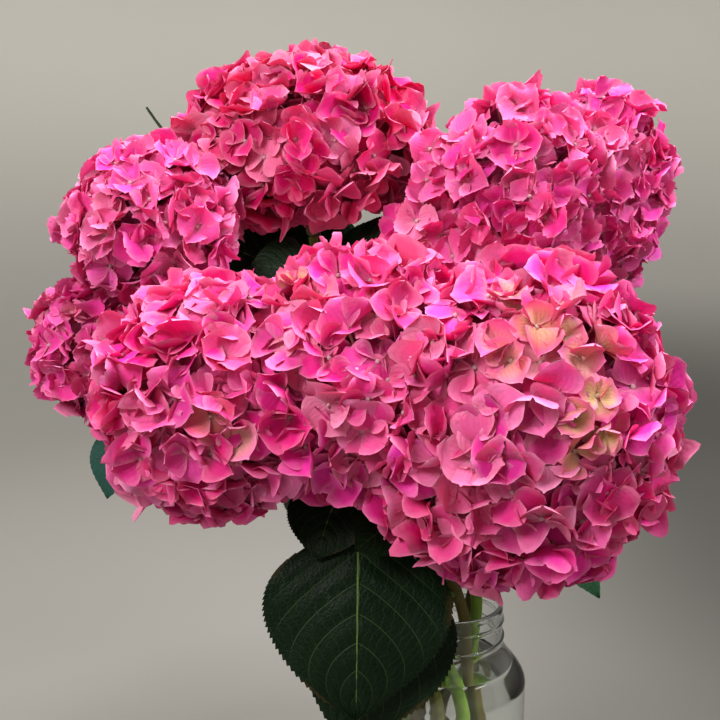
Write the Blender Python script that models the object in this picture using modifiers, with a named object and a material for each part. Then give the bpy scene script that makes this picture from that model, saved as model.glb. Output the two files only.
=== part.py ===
"""Cut pink hydrangea stems, standing in a clear screw-neck glass jar half full of water.

Metres, +Z up. The origin is the middle of the jar's flat underside. -Y is the front of the bunch and
+X is its right side, seen from the front.

Every stem is a woody rod that stands in the jar, crosses the others at the neck and bends out to its
own flower head. A head is a dome of small flowers, carried from below by a cluster of rays. The heads
press against one another, so neighbours are parted by a flat plane with a narrow gap.
"""
import math
from dataclasses import dataclass

import bmesh
import bpy
from mathutils import Matrix, Vector

# Clearances
GAP = 0.0003            # between pieces that rest on each other
HEAD_GAP = 0.0008       # between two heads that press together
CHANNEL_GAP = 0.0004    # round a stem, in the water

# Jar: a half-gallon wide-mouth jar
JAR_HEIGHT = 0.227
JAR_RADIUS = 0.0585
JAR_WALL = 0.003
JAR_FLOOR = 0.005
SHOULDER_Z = 0.160      # where the straight side ends
NECK_Z = 0.197          # where the shoulder meets the neck
NECK_RADIUS = 0.0413
HEEL = 0.009            # radius of the rounded edge at the bottom
LIP = 0.0014            # radius of the rounded lip
BEAD_Z = 0.2015         # ring under the thread
BEAD = 0.0014
THREAD_TOP_Z = 0.2205
THREAD_PITCH = 0.0065
THREAD_TURNS = 1.6
THREAD_BEAD = 0.0011
WATER_Z = 0.182
TURNED_STEPS = 32

# Stems
STEM_RADIUS = 0.0044
STEM_SIDES = 8
RING_RADIUS = 0.022     # of the circle on which the stems pass the neck
FIRST_SLOT = -55        # degrees: the first stem's place on that circle
RING_Z = 0.213
FOOT_SPREAD = 0.037     # of the circle on which the stems end in the water
FOOT_Z = 0.012
FOOT_STEP = 0.006       # the cut ends lie at three heights, this far apart
TWIST = math.radians(95)
STEM_BEND_STEPS = 12
STEM_PULL = 0.38        # how far the ends of a bend keep their direction, in parts of its span

# Heads and rays
UNDERSIDE = 0.66        # how far below a head's middle its underside lies, in parts of its depth
RAY_RADIUS = 0.0017
RAYS = 6                # round each hub, with one more in the middle
RAY_STEPS = 3
RAY_PULL = 0.3
RAY_REACH = 0.55        # how far out the rays end under a head, in parts of its half width
RAY_MARGIN = 0.005      # between a ray's end and the next head
KNOT_RADIUS = 0.0052

# Leaves
LEAF_THICKNESS = 0.0011
PETIOLE_RADIUS = 0.0018
PETIOLE_STEPS = 6
PETIOLE_PULL = 0.35
PETIOLE_END = 0.16      # how far along the midrib the stalk runs under the blade
LEAF_ROWS = 8
LEAF_COLUMNS = 4
BLADE_ROUND = 0.50      # exponents of a leaf's outline: how full its base is,
BLADE_POINT = 0.82      # and how slowly it narrows to its tip


@dataclass(frozen=True)
class Head:
    """A flower head, its rays and its stem."""

    name: str
    slot: int           # the stem's place in the neck, counted round from the front
    centre: tuple
    across: float       # half width, square to the axis
    deep: float         # half depth, along the axis
    axis: tuple         # the way the dome faces
    lead: float         # how far below the middle of the head its rays leave the stem
    petals: str         # material

    @property
    def facing(self):
        return Vector(self.axis).normalized()

    @property
    def middle(self):
        return Vector(self.centre)

    @property
    def hub(self):
        return self.middle - self.facing * self.lead


@dataclass(frozen=True)
class Leaf:
    """A leaf: its stalk leaves a stem at a height, and its blade runs from base to tip."""

    name: str
    stem: str
    height: float
    base: tuple
    tip: tuple
    face: tuple         # the way the upper side looks
    width: float
    arch: float         # how far the middle of the midrib stands out towards the upper side
    fold: float         # how far the sides stand out from the midrib, in parts of the half width


HEADS = (
    Head("middle_front", 0, (-0.056, -0.052, 0.403), 0.083, 0.081, (-0.10, -0.50, 0.85), 0.069, "petal_rose"),
    Head("right_front", 1, (0.033, -0.072, 0.375), 0.100, 0.105, (0.20, -0.50, 0.80), 0.084, "petal_rose"),
    Head("right_back", 2, (0.114, 0.118, 0.504), 0.066, 0.094, (0.25, 0.10, 0.95), 0.078, "petal_pink"),
    Head("right_high", 3, (0.052, 0.056, 0.513), 0.063, 0.072, (0.05, -0.10, 1.00), 0.063, "petal_pink"),
    Head("top", 4, (-0.104, 0.120, 0.546), 0.098, 0.070, (-0.08, -0.12, 1.00), 0.066, "petal_magenta"),
    Head("left_high", 5, (-0.208, 0.045, 0.489), 0.065, 0.060, (-0.45, -0.15, 0.88), 0.056, "petal_pink"),
    Head("left_low", 6, (-0.250, 0.050, 0.402), 0.054, 0.052, (-0.80, -0.20, 0.60), 0.050, "petal_pink"),
    Head("left_front", 7, (-0.148, -0.040, 0.385), 0.083, 0.081, (-0.45, -0.40, 0.80), 0.071, "petal_rose"),
)

LEAVES = (
    Leaf("leaf_front_large", "middle_front", 0.272, (-0.062, -0.053, 0.294), (-0.0636, -0.082, 0.180),
         (0.0, -1.0, 0.05), 0.122, 0.014, -0.10),
    Leaf("leaf_front_behind", "middle_front", 0.240, (-0.039, -0.048, 0.270), (-0.0700, -0.0715, 0.155),
         (-0.12, -1.0, -0.10), 0.108, 0.006, -0.06),
    Leaf("leaf_front_upper", "middle_front", 0.290, (-0.072, -0.024, 0.320), (-0.0885, -0.064, 0.282),
         (-0.3, -0.8, 0.55), 0.066, 0.006, -0.10),
    Leaf("leaf_front_small", "right_front", 0.268, (-0.040, -0.058, 0.305), (-0.0640, -0.088, 0.298),
         (0.3, -0.7, 0.70), 0.036, 0.003, -0.10),
    Leaf("leaf_left_low", "left_low", 0.345, (-0.232, 0.022, 0.345), (-0.2420, 0.012, 0.297),
         (-0.3, -0.9, 0.30), 0.040, 0.004, -0.10),
    Leaf("leaf_right_low", "right_front", 0.280, (0.070, 0.012, 0.290), (0.1075, -0.012, 0.232),
         (0.5, -0.8, 0.30), 0.044, 0.005, -0.10),
    Leaf("leaf_top_left", "left_high", 0.410, (-0.190, 0.126, 0.500), (-0.2320, 0.153, 0.577),
         (0.85, 0.10, 0.45), 0.040, 0.006, -0.15),
    Leaf("leaf_gap_right", "top", 0.385, (-0.062, 0.060, 0.458), (-0.0120, 0.052, 0.484),
         (-0.2, -0.85, 0.45), 0.060, 0.005, -0.12),
    Leaf("leaf_gap_left", "top", 0.400, (-0.096, 0.062, 0.450), (-0.1380, 0.040, 0.462),
         (0.0, -0.85, 0.50), 0.056, 0.005, -0.12),
    Leaf("leaf_under_right", "top", 0.400, (-0.085, 0.160, 0.444), (0.0360, 0.160, 0.462),
         (0.1, -0.95, 0.30), 0.078, 0.005, -0.12),
    Leaf("leaf_under_left", "top", 0.380, (-0.112, 0.160, 0.440), (-0.1920, 0.160, 0.474),
         (0.0, -0.95, 0.30), 0.074, 0.005, -0.12),
    Leaf("leaf_under_middle", "top", 0.440, (-0.100, 0.196, 0.494), (-0.1000, 0.192, 0.425),
         (0.0, -1.0, 0.10), 0.074, 0.004, -0.10),
    Leaf("leaf_back_top", "top", 0.350, (-0.045, 0.135, 0.380), (-0.0600, 0.225, 0.345),
         (-0.1, 0.5, 0.85), 0.080, 0.010, -0.12),
    Leaf("leaf_back_right", "right_back", 0.345, (0.080, 0.084, 0.362), (0.1400, 0.155, 0.322),
         (0.3, 0.5, 0.80), 0.076, 0.010, -0.12),
    Leaf("leaf_back_low", "right_high", 0.290, (0.028, 0.078, 0.305), (0.0350, 0.145, 0.248),
         (0.0, 0.7, 0.70), 0.080, 0.012, -0.12),
    Leaf("leaf_left_back", "left_high", 0.280, (-0.068, 0.074, 0.290), (-0.1120, 0.136, 0.238),
         (-0.4, 0.6, 0.65), 0.074, 0.010, -0.12),
    Leaf("leaf_left_far", "left_low", 0.325, (-0.165, 0.098, 0.335), (-0.2200, 0.150, 0.318),
         (-0.4, 0.3, 0.85), 0.058, 0.008, -0.12),
)

MATERIALS = {
    # name: (colour, roughness, transmission)
    "petal_rose": ((0.62, 0.075, 0.19), 0.55, 0.0),
    "petal_pink": ((0.68, 0.10, 0.25), 0.55, 0.0),
    "petal_magenta": ((0.60, 0.035, 0.13), 0.55, 0.0),
    "ray": ((0.42, 0.28, 0.16), 0.55, 0.0),
    "stem": ((0.16, 0.20, 0.06), 0.60, 0.0),
    "leaf": ((0.014, 0.055, 0.014), 0.45, 0.0),
    "glass": ((0.92, 0.95, 0.94), 0.03, 1.0),
    "water": ((0.93, 0.96, 0.95), 0.02, 1.0),
}


# --------------------------------------------------------------------------- scene helpers

def empty_scene():
    for thing in list(bpy.data.objects):
        bpy.data.objects.remove(thing, do_unlink=True)


def collection(name):
    group = bpy.data.collections.new(name)
    bpy.context.scene.collection.children.link(group)
    return group


def material(name):
    """The Principled material of that name, made at its first use."""
    if name in bpy.data.materials:
        return bpy.data.materials[name]
    colour, roughness, transmission = MATERIALS[name]
    made = bpy.data.materials.new(name)
    made.use_nodes = True
    shader = made.node_tree.nodes["Principled BSDF"]
    shader.inputs["Base Color"].default_value = (*colour, 1.0)
    shader.inputs["Roughness"].default_value = roughness
    shader.inputs["Metallic"].default_value = 0.0
    shader.inputs["Transmission Weight"].default_value = transmission
    return made


def add_object(name, data, group, material_name=None):
    thing = bpy.data.objects.new(name, data)
    group.objects.link(thing)
    if material_name:
        thing.data.materials.append(material(material_name))
    return thing


def hide_cutter(thing):
    thing.hide_render = True
    thing.display_type = "WIRE"


def smooth(thing, angle=40):
    thing.data.shade_smooth()
    thing.data.set_sharp_from_angle(angle=math.radians(angle))


def boolean(thing, operation, cutter=None, cutters=None):
    """An exact Boolean on thing, with one object or with a whole collection."""
    change = thing.modifiers.new(operation.lower(), "BOOLEAN")
    change.operation = operation
    change.solver = "EXACT"
    if cutters is not None:
        change.operand_type = "COLLECTION"
        change.collection = cutters
    else:
        change.object = cutter


# --------------------------------------------------------------------------- paths and tubes

def cubic(start, start_way, end, end_way, pull, steps):
    """Points on a cubic that leaves start along start_way and reaches end along end_way."""
    reach = (end - start).length * pull
    first = start + start_way.normalized() * reach
    second = end - end_way.normalized() * reach
    points = []
    for step in range(steps + 1):
        t = step / steps
        s = 1 - t
        points.append(start * s**3 + first * (3 * s * s * t) + second * (3 * s * t * t) + end * t**3)
    return points


def tube_curve(name, points, radius, group, sides=STEM_SIDES, taper=None):
    """A round rod along points. taper gives the radius at each point, in parts of radius."""
    data = bpy.data.curves.new(name, "CURVE")
    data.dimensions = "3D"
    data.bevel_depth = radius
    data.bevel_resolution = (sides - 4) // 2
    data.use_fill_caps = True
    spline = data.splines.new("POLY")
    spline.points.add(len(points) - 1)
    for index, point in enumerate(points):
        spline.points[index].co = (*point, 1.0)
        spline.points[index].radius = taper[index] if taper else 1.0
    return add_object(name, data, group)


def tube_mesh(name, points, radius, group, sides=STEM_SIDES, taper=None, material_name=None):
    """The same rod as a closed mesh, so that it can be cut or joined."""
    curve = tube_curve(name + "_path", points, radius, group, sides, taper)
    bpy.context.view_layer.update()
    evaluated = curve.evaluated_get(bpy.context.evaluated_depsgraph_get())
    mesh = bpy.data.meshes.new_from_object(evaluated)
    shape = bmesh.new()
    shape.from_mesh(mesh)
    bmesh.ops.remove_doubles(shape, verts=shape.verts, dist=1e-6)
    shape.to_mesh(mesh)
    shape.free()
    rod = add_object(name, mesh, group)
    rod.matrix_world = curve.matrix_world
    bpy.data.objects.remove(curve, do_unlink=True)
    mesh.materials.clear()
    if material_name:
        mesh.materials.append(material(material_name))
    smooth(rod)
    return rod


# --------------------------------------------------------------------------- jar and water

def arc(centre_r, centre_z, radius, start, end, steps):
    """Points (r, z) on an arc. Angles in degrees, from the +r direction towards +z."""
    points = []
    for step in range(steps + 1):
        angle = math.radians(start + (end - start) * step / steps)
        points.append((centre_r + radius * math.cos(angle), centre_z + radius * math.sin(angle)))
    return points


def shoulder(top_radius, bottom_radius, top_z, bottom_z, steps):
    """Points (r, z) down an S-shaped shoulder: a half wave of a cosine in r against z."""
    points = []
    for step in range(steps + 1):
        t = step / steps
        blend = (1 - math.cos(math.pi * t)) / 2
        bulge = 0.18 * math.sin(math.pi * t)
        share = min(1.0, blend + bulge)
        points.append((top_radius + (bottom_radius - top_radius) * share, top_z + (bottom_z - top_z) * t))
    return points


def inner_side():
    """The jar's inside, from the middle of its floor up to the mouth."""
    heel = HEEL - JAR_WALL
    side = JAR_RADIUS - JAR_WALL
    points = [(0.0, JAR_FLOOR), (side - heel, JAR_FLOOR)]
    points += arc(side - heel, JAR_FLOOR + heel, heel, -60, 0, 2)
    points += reversed(shoulder(NECK_RADIUS - JAR_WALL, side, NECK_Z, SHOULDER_Z, 6))
    return points


def outer_side():
    """The jar's outside, from the lip down to the middle of its underside."""
    mouth = NECK_RADIUS - JAR_WALL
    points = arc(mouth + LIP, JAR_HEIGHT - LIP, LIP, 180, 0, 4)
    points += [(NECK_RADIUS - 0.0004, JAR_HEIGHT - 2.4 * LIP)]
    points += [(NECK_RADIUS, BEAD_Z + 1.2 * BEAD)]
    points += arc(NECK_RADIUS, BEAD_Z, BEAD, 45, -45, 2)
    points += shoulder(NECK_RADIUS, JAR_RADIUS, NECK_Z, SHOULDER_Z, 6)
    points += arc(JAR_RADIUS - HEEL, HEEL, HEEL, 0, -90, 4)
    points += [(0.0, 0.0)]
    return points


def turned(name, profile, group, material_name):
    """A profile of (r, z) points turned about Z."""
    mesh = bpy.data.meshes.new(name)
    vertices = [(radius, 0.0, height) for radius, height in profile]
    mesh.from_pydata(vertices, [(i, i + 1) for i in range(len(vertices) - 1)], [])
    thing = add_object(name, mesh, group, material_name)
    screw = thing.modifiers.new("turn", "SCREW")
    screw.steps = TURNED_STEPS
    screw.render_steps = TURNED_STEPS
    screw.use_merge_vertices = True
    screw.merge_threshold = 1e-6
    return thing


def thread_points():
    """The helix of the jar's thread, and the radius along it, thin at both ends."""
    points, taper = [], []
    steps = int(16 * THREAD_TURNS)
    for step in range(steps + 1):
        t = step / steps
        angle = 2 * math.pi * THREAD_TURNS * t
        points.append(Vector((NECK_RADIUS * math.cos(angle), NECK_RADIUS * math.sin(angle),
                              THREAD_TOP_Z - THREAD_PITCH * THREAD_TURNS * t)))
        taper.append(min(1.0, 0.35 + 8 * min(t, 1 - t)))
    return points, taper


def build_jar(parts, cutters):
    jar = turned("glass_jar", inner_side() + outer_side(), parts, "glass")
    points, taper = thread_points()
    thread = tube_mesh("thread_bead", points, THREAD_BEAD, cutters, sides=6, taper=taper)
    hide_cutter(thread)
    boolean(jar, "UNION", cutter=thread)


def water_side():
    """The water's outline (r, z), from the middle of its surface down its side to the middle below."""
    inside = inner_side()
    points = []
    for (radius, height), (above_radius, above) in zip(inside, inside[1:]):
        if height >= WATER_Z:
            break
        points.append((max(0.0, radius - GAP), height + (GAP if height == JAR_FLOOR else 0.0)))
        if above > WATER_Z:
            share = (WATER_Z - height) / (above - height)
            points.append((radius + (above_radius - radius) * share - GAP, WATER_Z))
    points.append((0.0, WATER_Z))
    return points[::-1]


def build_water(parts, stems):
    """The water: it fills the jar up to WATER_Z, with a channel round each stem."""
    water = turned("water", water_side(), parts, "water")
    boolean(water, "DIFFERENCE", cutters=stems)


# --------------------------------------------------------------------------- stems

def slot_angle(head):
    return math.radians(FIRST_SLOT + 360 / len(HEADS) * head.slot)


def ring_point(head):
    angle = slot_angle(head)
    return Vector((RING_RADIUS * math.cos(angle), RING_RADIUS * math.sin(angle), RING_Z))


def foot_point(head):
    angle = slot_angle(head) + TWIST
    lift = FOOT_STEP * (head.slot % 3)
    return Vector((FOOT_SPREAD * math.cos(angle), FOOT_SPREAD * math.sin(angle), FOOT_Z + lift))


def stem_path(head):
    """Straight from the foot to the neck, then one bend up to the rays."""
    foot, ring = foot_point(head), ring_point(head)
    end = head.hub - head.facing * (KNOT_RADIUS + GAP)
    return [foot] + cubic(ring, ring - foot, end, head.facing, STEM_PULL, STEM_BEND_STEPS)


def build_stem(head, parts, channels):
    points = stem_path(head)
    tube_mesh("stem_" + head.name, points, STEM_RADIUS, parts, material_name="stem")
    below = points[0] + (points[0] - points[1]).normalized() * CHANNEL_GAP
    channel = tube_mesh("channel_" + head.name, [below] + points[1:3], STEM_RADIUS + CHANNEL_GAP, channels)
    hide_cutter(channel)


def stem_at(stem_name, height):
    """The point at that height on a stem's middle line, and the stem's direction there."""
    head = next(head for head in HEADS if head.name == stem_name)
    points = stem_path(head)
    pairs = list(zip(points, points[1:]))
    low, high = next((pair for pair in pairs if pair[0].z <= height <= pair[1].z), pairs[-1])
    return low.lerp(high, (height - low.z) / (high.z - low.z)), (high - low).normalized()


# --------------------------------------------------------------------------- heads

def head_turn(head):
    """The rotation that carries +Z onto the head's axis."""
    return head.facing.to_track_quat("Z", "Y").to_matrix().to_4x4()


def parting_planes(head):
    """Where the head presses on its neighbours: (point, outward direction) of each parting plane.

    For two round masses this is the plane through the circle in which they would meet.
    """
    planes = []
    own = (head.across + head.deep) / 2
    for other in HEADS:
        apart = other.middle - head.middle
        theirs = (other.across + other.deep) / 2
        if other is head or apart.length > max(own, head.across) + max(theirs, other.across):
            continue
        share = (apart.length_squared + own**2 - theirs**2) / (2 * apart.length)
        way = apart.normalized()
        planes.append((head.middle + way * (share - HEAD_GAP / 2), way))
    return planes


def cut_flat(shape, point, way):
    """Cut off what lies beyond a plane, and close the cut with one flat face."""
    geometry = shape.verts[:] + shape.edges[:] + shape.faces[:]
    bmesh.ops.bisect_plane(shape, geom=geometry, plane_co=point, plane_no=way, clear_outer=True)
    edges = [edge for edge in shape.edges if edge.is_boundary]
    bmesh.ops.holes_fill(shape, edges=edges)


def build_head(head, parts):
    shape = bmesh.new()
    bmesh.ops.create_uvsphere(shape, u_segments=22, v_segments=12, radius=1.0)
    size = Matrix.Diagonal((head.across, head.across, head.deep, 1.0))
    bmesh.ops.transform(shape, verts=shape.verts, matrix=head_turn(head) @ size)
    bmesh.ops.translate(shape, verts=shape.verts, vec=head.middle)
    for point, way in parting_planes(head):
        cut_flat(shape, point, way)
    cut_flat(shape, head.middle - head.facing * (UNDERSIDE * head.deep), -head.facing)
    bmesh.ops.recalc_face_normals(shape, faces=shape.faces)
    mesh = bpy.data.meshes.new("head_" + head.name)
    shape.to_mesh(mesh)
    shape.free()
    smooth(add_object("head_" + head.name, mesh, parts, head.petals), 35)


def ray_end(head, top, way):
    """Where a ray that spreads towards way meets the underside, kept on the head's own side."""
    reach = RAY_REACH * head.across
    planes = parting_planes(head)
    while any((top + way * reach - point).dot(normal) > -RAY_MARGIN for point, normal in planes):
        reach *= 0.9
    return top + way * reach - head.facing * RAY_RADIUS


def build_rays(head, parts, cutters):
    """A round knot at the stem's end, with rays that spread from it to the head's underside."""
    name = "rays_" + head.name
    rays = bpy.data.collections.new(name)
    cutters.children.link(rays)
    turn = head_turn(head).to_3x3()
    top = head.middle - head.facing * (UNDERSIDE * head.deep + 2 * GAP)
    for index in range(RAYS + 1):
        angle = 2 * math.pi * index / RAYS
        way = turn @ Vector((math.cos(angle), math.sin(angle), 0.0)) if index < RAYS else Vector()
        end = ray_end(head, top, way)
        out = (end - head.hub).normalized() + head.facing * 0.3
        points = cubic(head.hub, out, end, head.facing + out * 0.6, RAY_PULL, RAY_STEPS)
        hide_cutter(tube_mesh(f"{name}_{index}", points, RAY_RADIUS, rays, sides=6))
    bpy.ops.mesh.primitive_uv_sphere_add(segments=10, ring_count=6, radius=KNOT_RADIUS, location=head.hub)
    knot = bpy.context.object
    knot.name = name
    for group in knot.users_collection:
        group.objects.unlink(knot)
    parts.objects.link(knot)
    knot.data.materials.append(material("ray"))
    boolean(knot, "UNION", cutters=rays)


# --------------------------------------------------------------------------- leaves

def blade_width(t):
    """Half width of a leaf along its midrib, in parts of the largest: full base, pointed tip."""
    widest = BLADE_ROUND / (BLADE_ROUND + BLADE_POINT)
    peak = widest**BLADE_ROUND * (1 - widest)**BLADE_POINT
    return t**BLADE_ROUND * (1 - t)**BLADE_POINT / peak


def midrib(leaf, t):
    base, tip = Vector(leaf.base), Vector(leaf.tip)
    return base.lerp(tip, t) + Vector(leaf.face).normalized() * (4 * leaf.arch * t * (1 - t))


def build_blade(leaf, parts):
    """An open sheet on a grid (along the midrib, across it), given its thickness by Solidify."""
    shape = bmesh.new()
    bmesh.ops.create_grid(shape, x_segments=LEAF_COLUMNS, y_segments=LEAF_ROWS, size=1.0)
    along = (Vector(leaf.tip) - Vector(leaf.base)).normalized()
    side = along.cross(Vector(leaf.face)).normalized()
    up = side.cross(along).normalized()
    for vertex in shape.verts:
        t = (vertex.co.y + 1) / 2
        reach = vertex.co.x * blade_width(t) * leaf.width / 2
        vertex.co = midrib(leaf, t) + side * reach + up * (abs(reach) * leaf.fold)
    bmesh.ops.remove_doubles(shape, verts=shape.verts, dist=1e-6)
    mesh = bpy.data.meshes.new(leaf.name)
    shape.to_mesh(mesh)
    shape.free()
    blade = add_object(leaf.name, mesh, parts, "leaf")
    sheet = blade.modifiers.new("thickness", "SOLIDIFY")
    sheet.thickness = LEAF_THICKNESS
    sheet.offset = 0.0
    return blade


def build_leaf(leaf, parts, cutters):
    blade = build_blade(leaf, parts)
    base, inner = Vector(leaf.base), midrib(leaf, PETIOLE_END)
    centre, grain = stem_at(leaf.stem, leaf.height)
    out = base - centre
    out = (out - grain * out.dot(grain)).normalized()
    root = centre + out * (STEM_RADIUS + 3 * GAP + PETIOLE_RADIUS)
    points = cubic(root, out + grain * 0.5, base, inner - base, PETIOLE_PULL, PETIOLE_STEPS) + [inner]
    stalk = tube_mesh(leaf.name + "_stalk", points, PETIOLE_RADIUS, cutters, sides=6)
    hide_cutter(stalk)
    boolean(blade, "UNION", cutter=stalk)
    blade.data.shade_smooth()


# --------------------------------------------------------------------------- build

def main():
    empty_scene()
    parts = collection("cut_hydrangea_stems")
    cutters = collection("cutters")
    channels = bpy.data.collections.new("stem_channels")
    cutters.children.link(channels)
    for head in HEADS:
        build_stem(head, parts, channels)
        build_rays(head, parts, cutters)
        build_head(head, parts)
    for leaf in LEAVES:
        build_leaf(leaf, parts, cutters)
    build_jar(parts, cutters)
    build_water(parts, channels)


main()
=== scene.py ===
"""A bunch of cut mophead hydrangeas standing in a clear screw-neck jar of water.

Every shape is worked out with numpy as a surface over two parameters, or as a profile carried
along a path. The sizes are in metres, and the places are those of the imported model.
"""

import sys

import logging  # noqa: E402
import math  # noqa: E402
from dataclasses import dataclass, field  # noqa: E402
from enum import Enum  # noqa: E402
from typing import Any, Callable, ClassVar, Optional, Sequence, Union  # noqa: E402

import bpy  # noqa: E402
import numpy as np  # noqa: E402
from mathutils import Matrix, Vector  # noqa: E402
from mathutils.bvhtree import BVHTree  # noqa: E402


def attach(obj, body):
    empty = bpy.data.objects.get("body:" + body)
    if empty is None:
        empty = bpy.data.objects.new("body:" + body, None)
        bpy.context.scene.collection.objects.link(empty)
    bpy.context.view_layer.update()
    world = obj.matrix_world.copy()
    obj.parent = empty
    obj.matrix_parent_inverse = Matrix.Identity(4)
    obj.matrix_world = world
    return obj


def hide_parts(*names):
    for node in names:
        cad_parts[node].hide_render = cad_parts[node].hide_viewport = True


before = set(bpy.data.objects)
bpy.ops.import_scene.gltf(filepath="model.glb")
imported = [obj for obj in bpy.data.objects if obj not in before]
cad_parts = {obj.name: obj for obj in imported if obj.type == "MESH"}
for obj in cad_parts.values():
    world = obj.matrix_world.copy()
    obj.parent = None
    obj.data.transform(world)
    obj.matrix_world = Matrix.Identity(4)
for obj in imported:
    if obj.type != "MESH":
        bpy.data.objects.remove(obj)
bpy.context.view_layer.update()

LOG = logging.getLogger("hydrangea")
Triple = tuple[float, float, float]
GOLDEN_ANGLE = math.pi * (3.0 - math.sqrt(5.0))
UP = np.array([0.0, 0.0, 1.0])


# --------------------------------------------------------------------------- small vector helpers

def unit(way: np.ndarray) -> np.ndarray:
    """Each vector in the last axis, at length one."""
    return way / np.maximum(np.linalg.norm(way, axis=-1, keepdims=True), 1e-12)


def square_pair(way: np.ndarray) -> tuple[np.ndarray, np.ndarray]:
    """Two unit vectors square to each unit vector and to each other: the cross product with the
    world axis that it leans on least, and the cross product of the two.

    Args:
        way: unit vectors, (..., 3).

    Returns:
        The first and the second vector, (..., 3) each. first x second = way.
    """
    helper = np.where(np.abs(way[..., 2:3]) < 0.9, UP, np.array([1.0, 0.0, 0.0]))
    first = unit(np.cross(helper, way))
    return first, np.cross(way, first)


def ease(value: np.ndarray, low: float, high: float) -> np.ndarray:
    """0 below low, 1 above high, and the smooth cubic 3t^2 - 2t^3 between them."""
    t = np.clip((value - low) / (high - low), 0.0, 1.0)
    return t * t * (3.0 - 2.0 * t)


def blend(first: Any, second: Any, share: Any) -> np.ndarray:
    """The straight mix of two arrays, share of the second."""
    return np.asarray(first) * (1.0 - share) + np.asarray(second) * share


def cubic(start: np.ndarray, start_way: np.ndarray, end: np.ndarray, end_way: np.ndarray,
          pull: float, steps: int) -> np.ndarray:
    """Points on Bezier cubics that leave each start along start_way and reach each end along
    end_way: s^3 A + 3 s^2 t B + 3 s t^2 C + t^3 D, with B and C a pull of the span away.

    Args:
        start, start_way, end, end_way: (..., 3) each.
        pull: the length of each handle, in parts of the distance from start to end.
        steps: the number of spans.

    Returns:
        Points, (..., steps + 1, 3).
    """
    reach = np.linalg.norm(end - start, axis=-1, keepdims=True) * pull
    first = start + unit(start_way) * reach
    second = end - unit(end_way) * reach
    t = np.linspace(0.0, 1.0, steps + 1)[:, None]
    s = 1.0 - t
    corners = [corner[..., None, :] for corner in (start, first, second, end)]
    return (corners[0] * s**3 + corners[1] * (3 * s * s * t) + corners[2] * (3 * s * t * t)
            + corners[3] * t**3)


# --------------------------------------------------------------------------- meshes as arrays

@dataclass
class Surface:
    """The arrays of one mesh: its points, its faces of four and of three, and what each point
    carries for the finish, which is a place on the surface and a colour."""

    points: np.ndarray
    quads: np.ndarray
    triangles: np.ndarray
    places: np.ndarray
    tints: np.ndarray

    @staticmethod
    def joined(surfaces: Sequence["Surface"]) -> "Surface":
        """One surface that holds all the given ones, with their point numbers moved up."""
        starts = np.cumsum([0] + [len(surface.points) for surface in surfaces[:-1]])
        return Surface(
            np.concatenate([surface.points for surface in surfaces]),
            np.concatenate([surface.quads + start for surface, start in zip(surfaces, starts)]),
            np.concatenate([surface.triangles + start for surface, start in zip(surfaces, starts)]),
            np.concatenate([surface.places for surface in surfaces]),
            np.concatenate([surface.tints for surface in surfaces]),
        )

    def some(self, first: int, last: int, count: int) -> "Surface":
        """Cuts out a run of the equal parts that a surface is made of, one after another.

        Args:
            first, last: the run, last not included.
            count: how many equal parts there are.

        Returns:
            The surface of that run.
        """
        size, quads, triangles = (len(held) // count for held in (self.points, self.quads, self.triangles))
        spot = slice(first * size, last * size)
        return Surface(self.points[spot], self.quads[first * quads:last * quads] - first * size,
                       self.triangles[first * triangles:last * triangles] - first * size,
                       self.places[spot], self.tints[spot])

    def as_piece(self, name: str, finish: bpy.types.Material, slot: str,
                 replaces: Sequence[str] = ()) -> bpy.types.Object:
        """Makes the mesh object, and puts it on the root body.

        Args:
            name: the piece's name.
            finish: its material.
            slot: the record's material slot; not used.
            replaces: the CAD nodes that it stands for.

        Returns:
            The object, at the origin, unturned and unscaled.
        """
        mesh = bpy.data.meshes.new(name)
        corners = np.concatenate([self.quads.ravel(), self.triangles.ravel()]).astype(np.int32)
        counts = np.concatenate([np.full(len(self.quads), 4), np.full(len(self.triangles), 3)])
        starts = np.concatenate([[0], np.cumsum(counts)[:-1]]).astype(np.int32)
        mesh.vertices.add(len(self.points))
        mesh.vertices.foreach_set("co", self.points.astype(np.float32).ravel())
        mesh.loops.add(len(corners))
        mesh.loops.foreach_set("vertex_index", corners)
        mesh.polygons.add(len(counts))
        mesh.polygons.foreach_set("loop_start", starts)
        mesh.polygons.foreach_set("use_smooth", np.ones(len(counts), dtype=bool))
        mesh.update(calc_edges=True)
        mesh.set_sharp_from_angle(angle=math.radians(75))
        layer = mesh.uv_layers.new(name="place")
        layer.uv.foreach_set("vector", self.places[corners].astype(np.float32).ravel())
        tint = mesh.color_attributes.new("tint", "FLOAT_COLOR", "POINT")
        rgba = np.concatenate([self.tints, np.ones((len(self.tints), 1))], axis=1)
        tint.data.foreach_set("color", rgba.astype(np.float32).ravel())
        if mesh.validate():
            LOG.warning("%s had faces that had to be mended", name)
        mesh.materials.append(finish)
        piece = bpy.data.objects.new(name, mesh)
        bpy.context.scene.collection.objects.link(piece)
        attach(piece, "root")
        if replaces:
            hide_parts(*replaces)
        low, high = self.points.min(axis=0), self.points.max(axis=0)
        LOG.info("%s: %d faces, box %s to %s", name, len(counts), low.round(3), high.round(3))
        return piece


def sheet_normals(points: np.ndarray) -> np.ndarray:
    """The unit normals of sheets on a grid: the way across, crossed with the way along.

    Args:
        points: (sheets, rows along, columns across, 3).

    Returns:
        Normals, the same shape.
    """
    along = np.gradient(points, axis=1)
    across = np.gradient(points, axis=2)
    return unit(np.cross(across, along))


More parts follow.
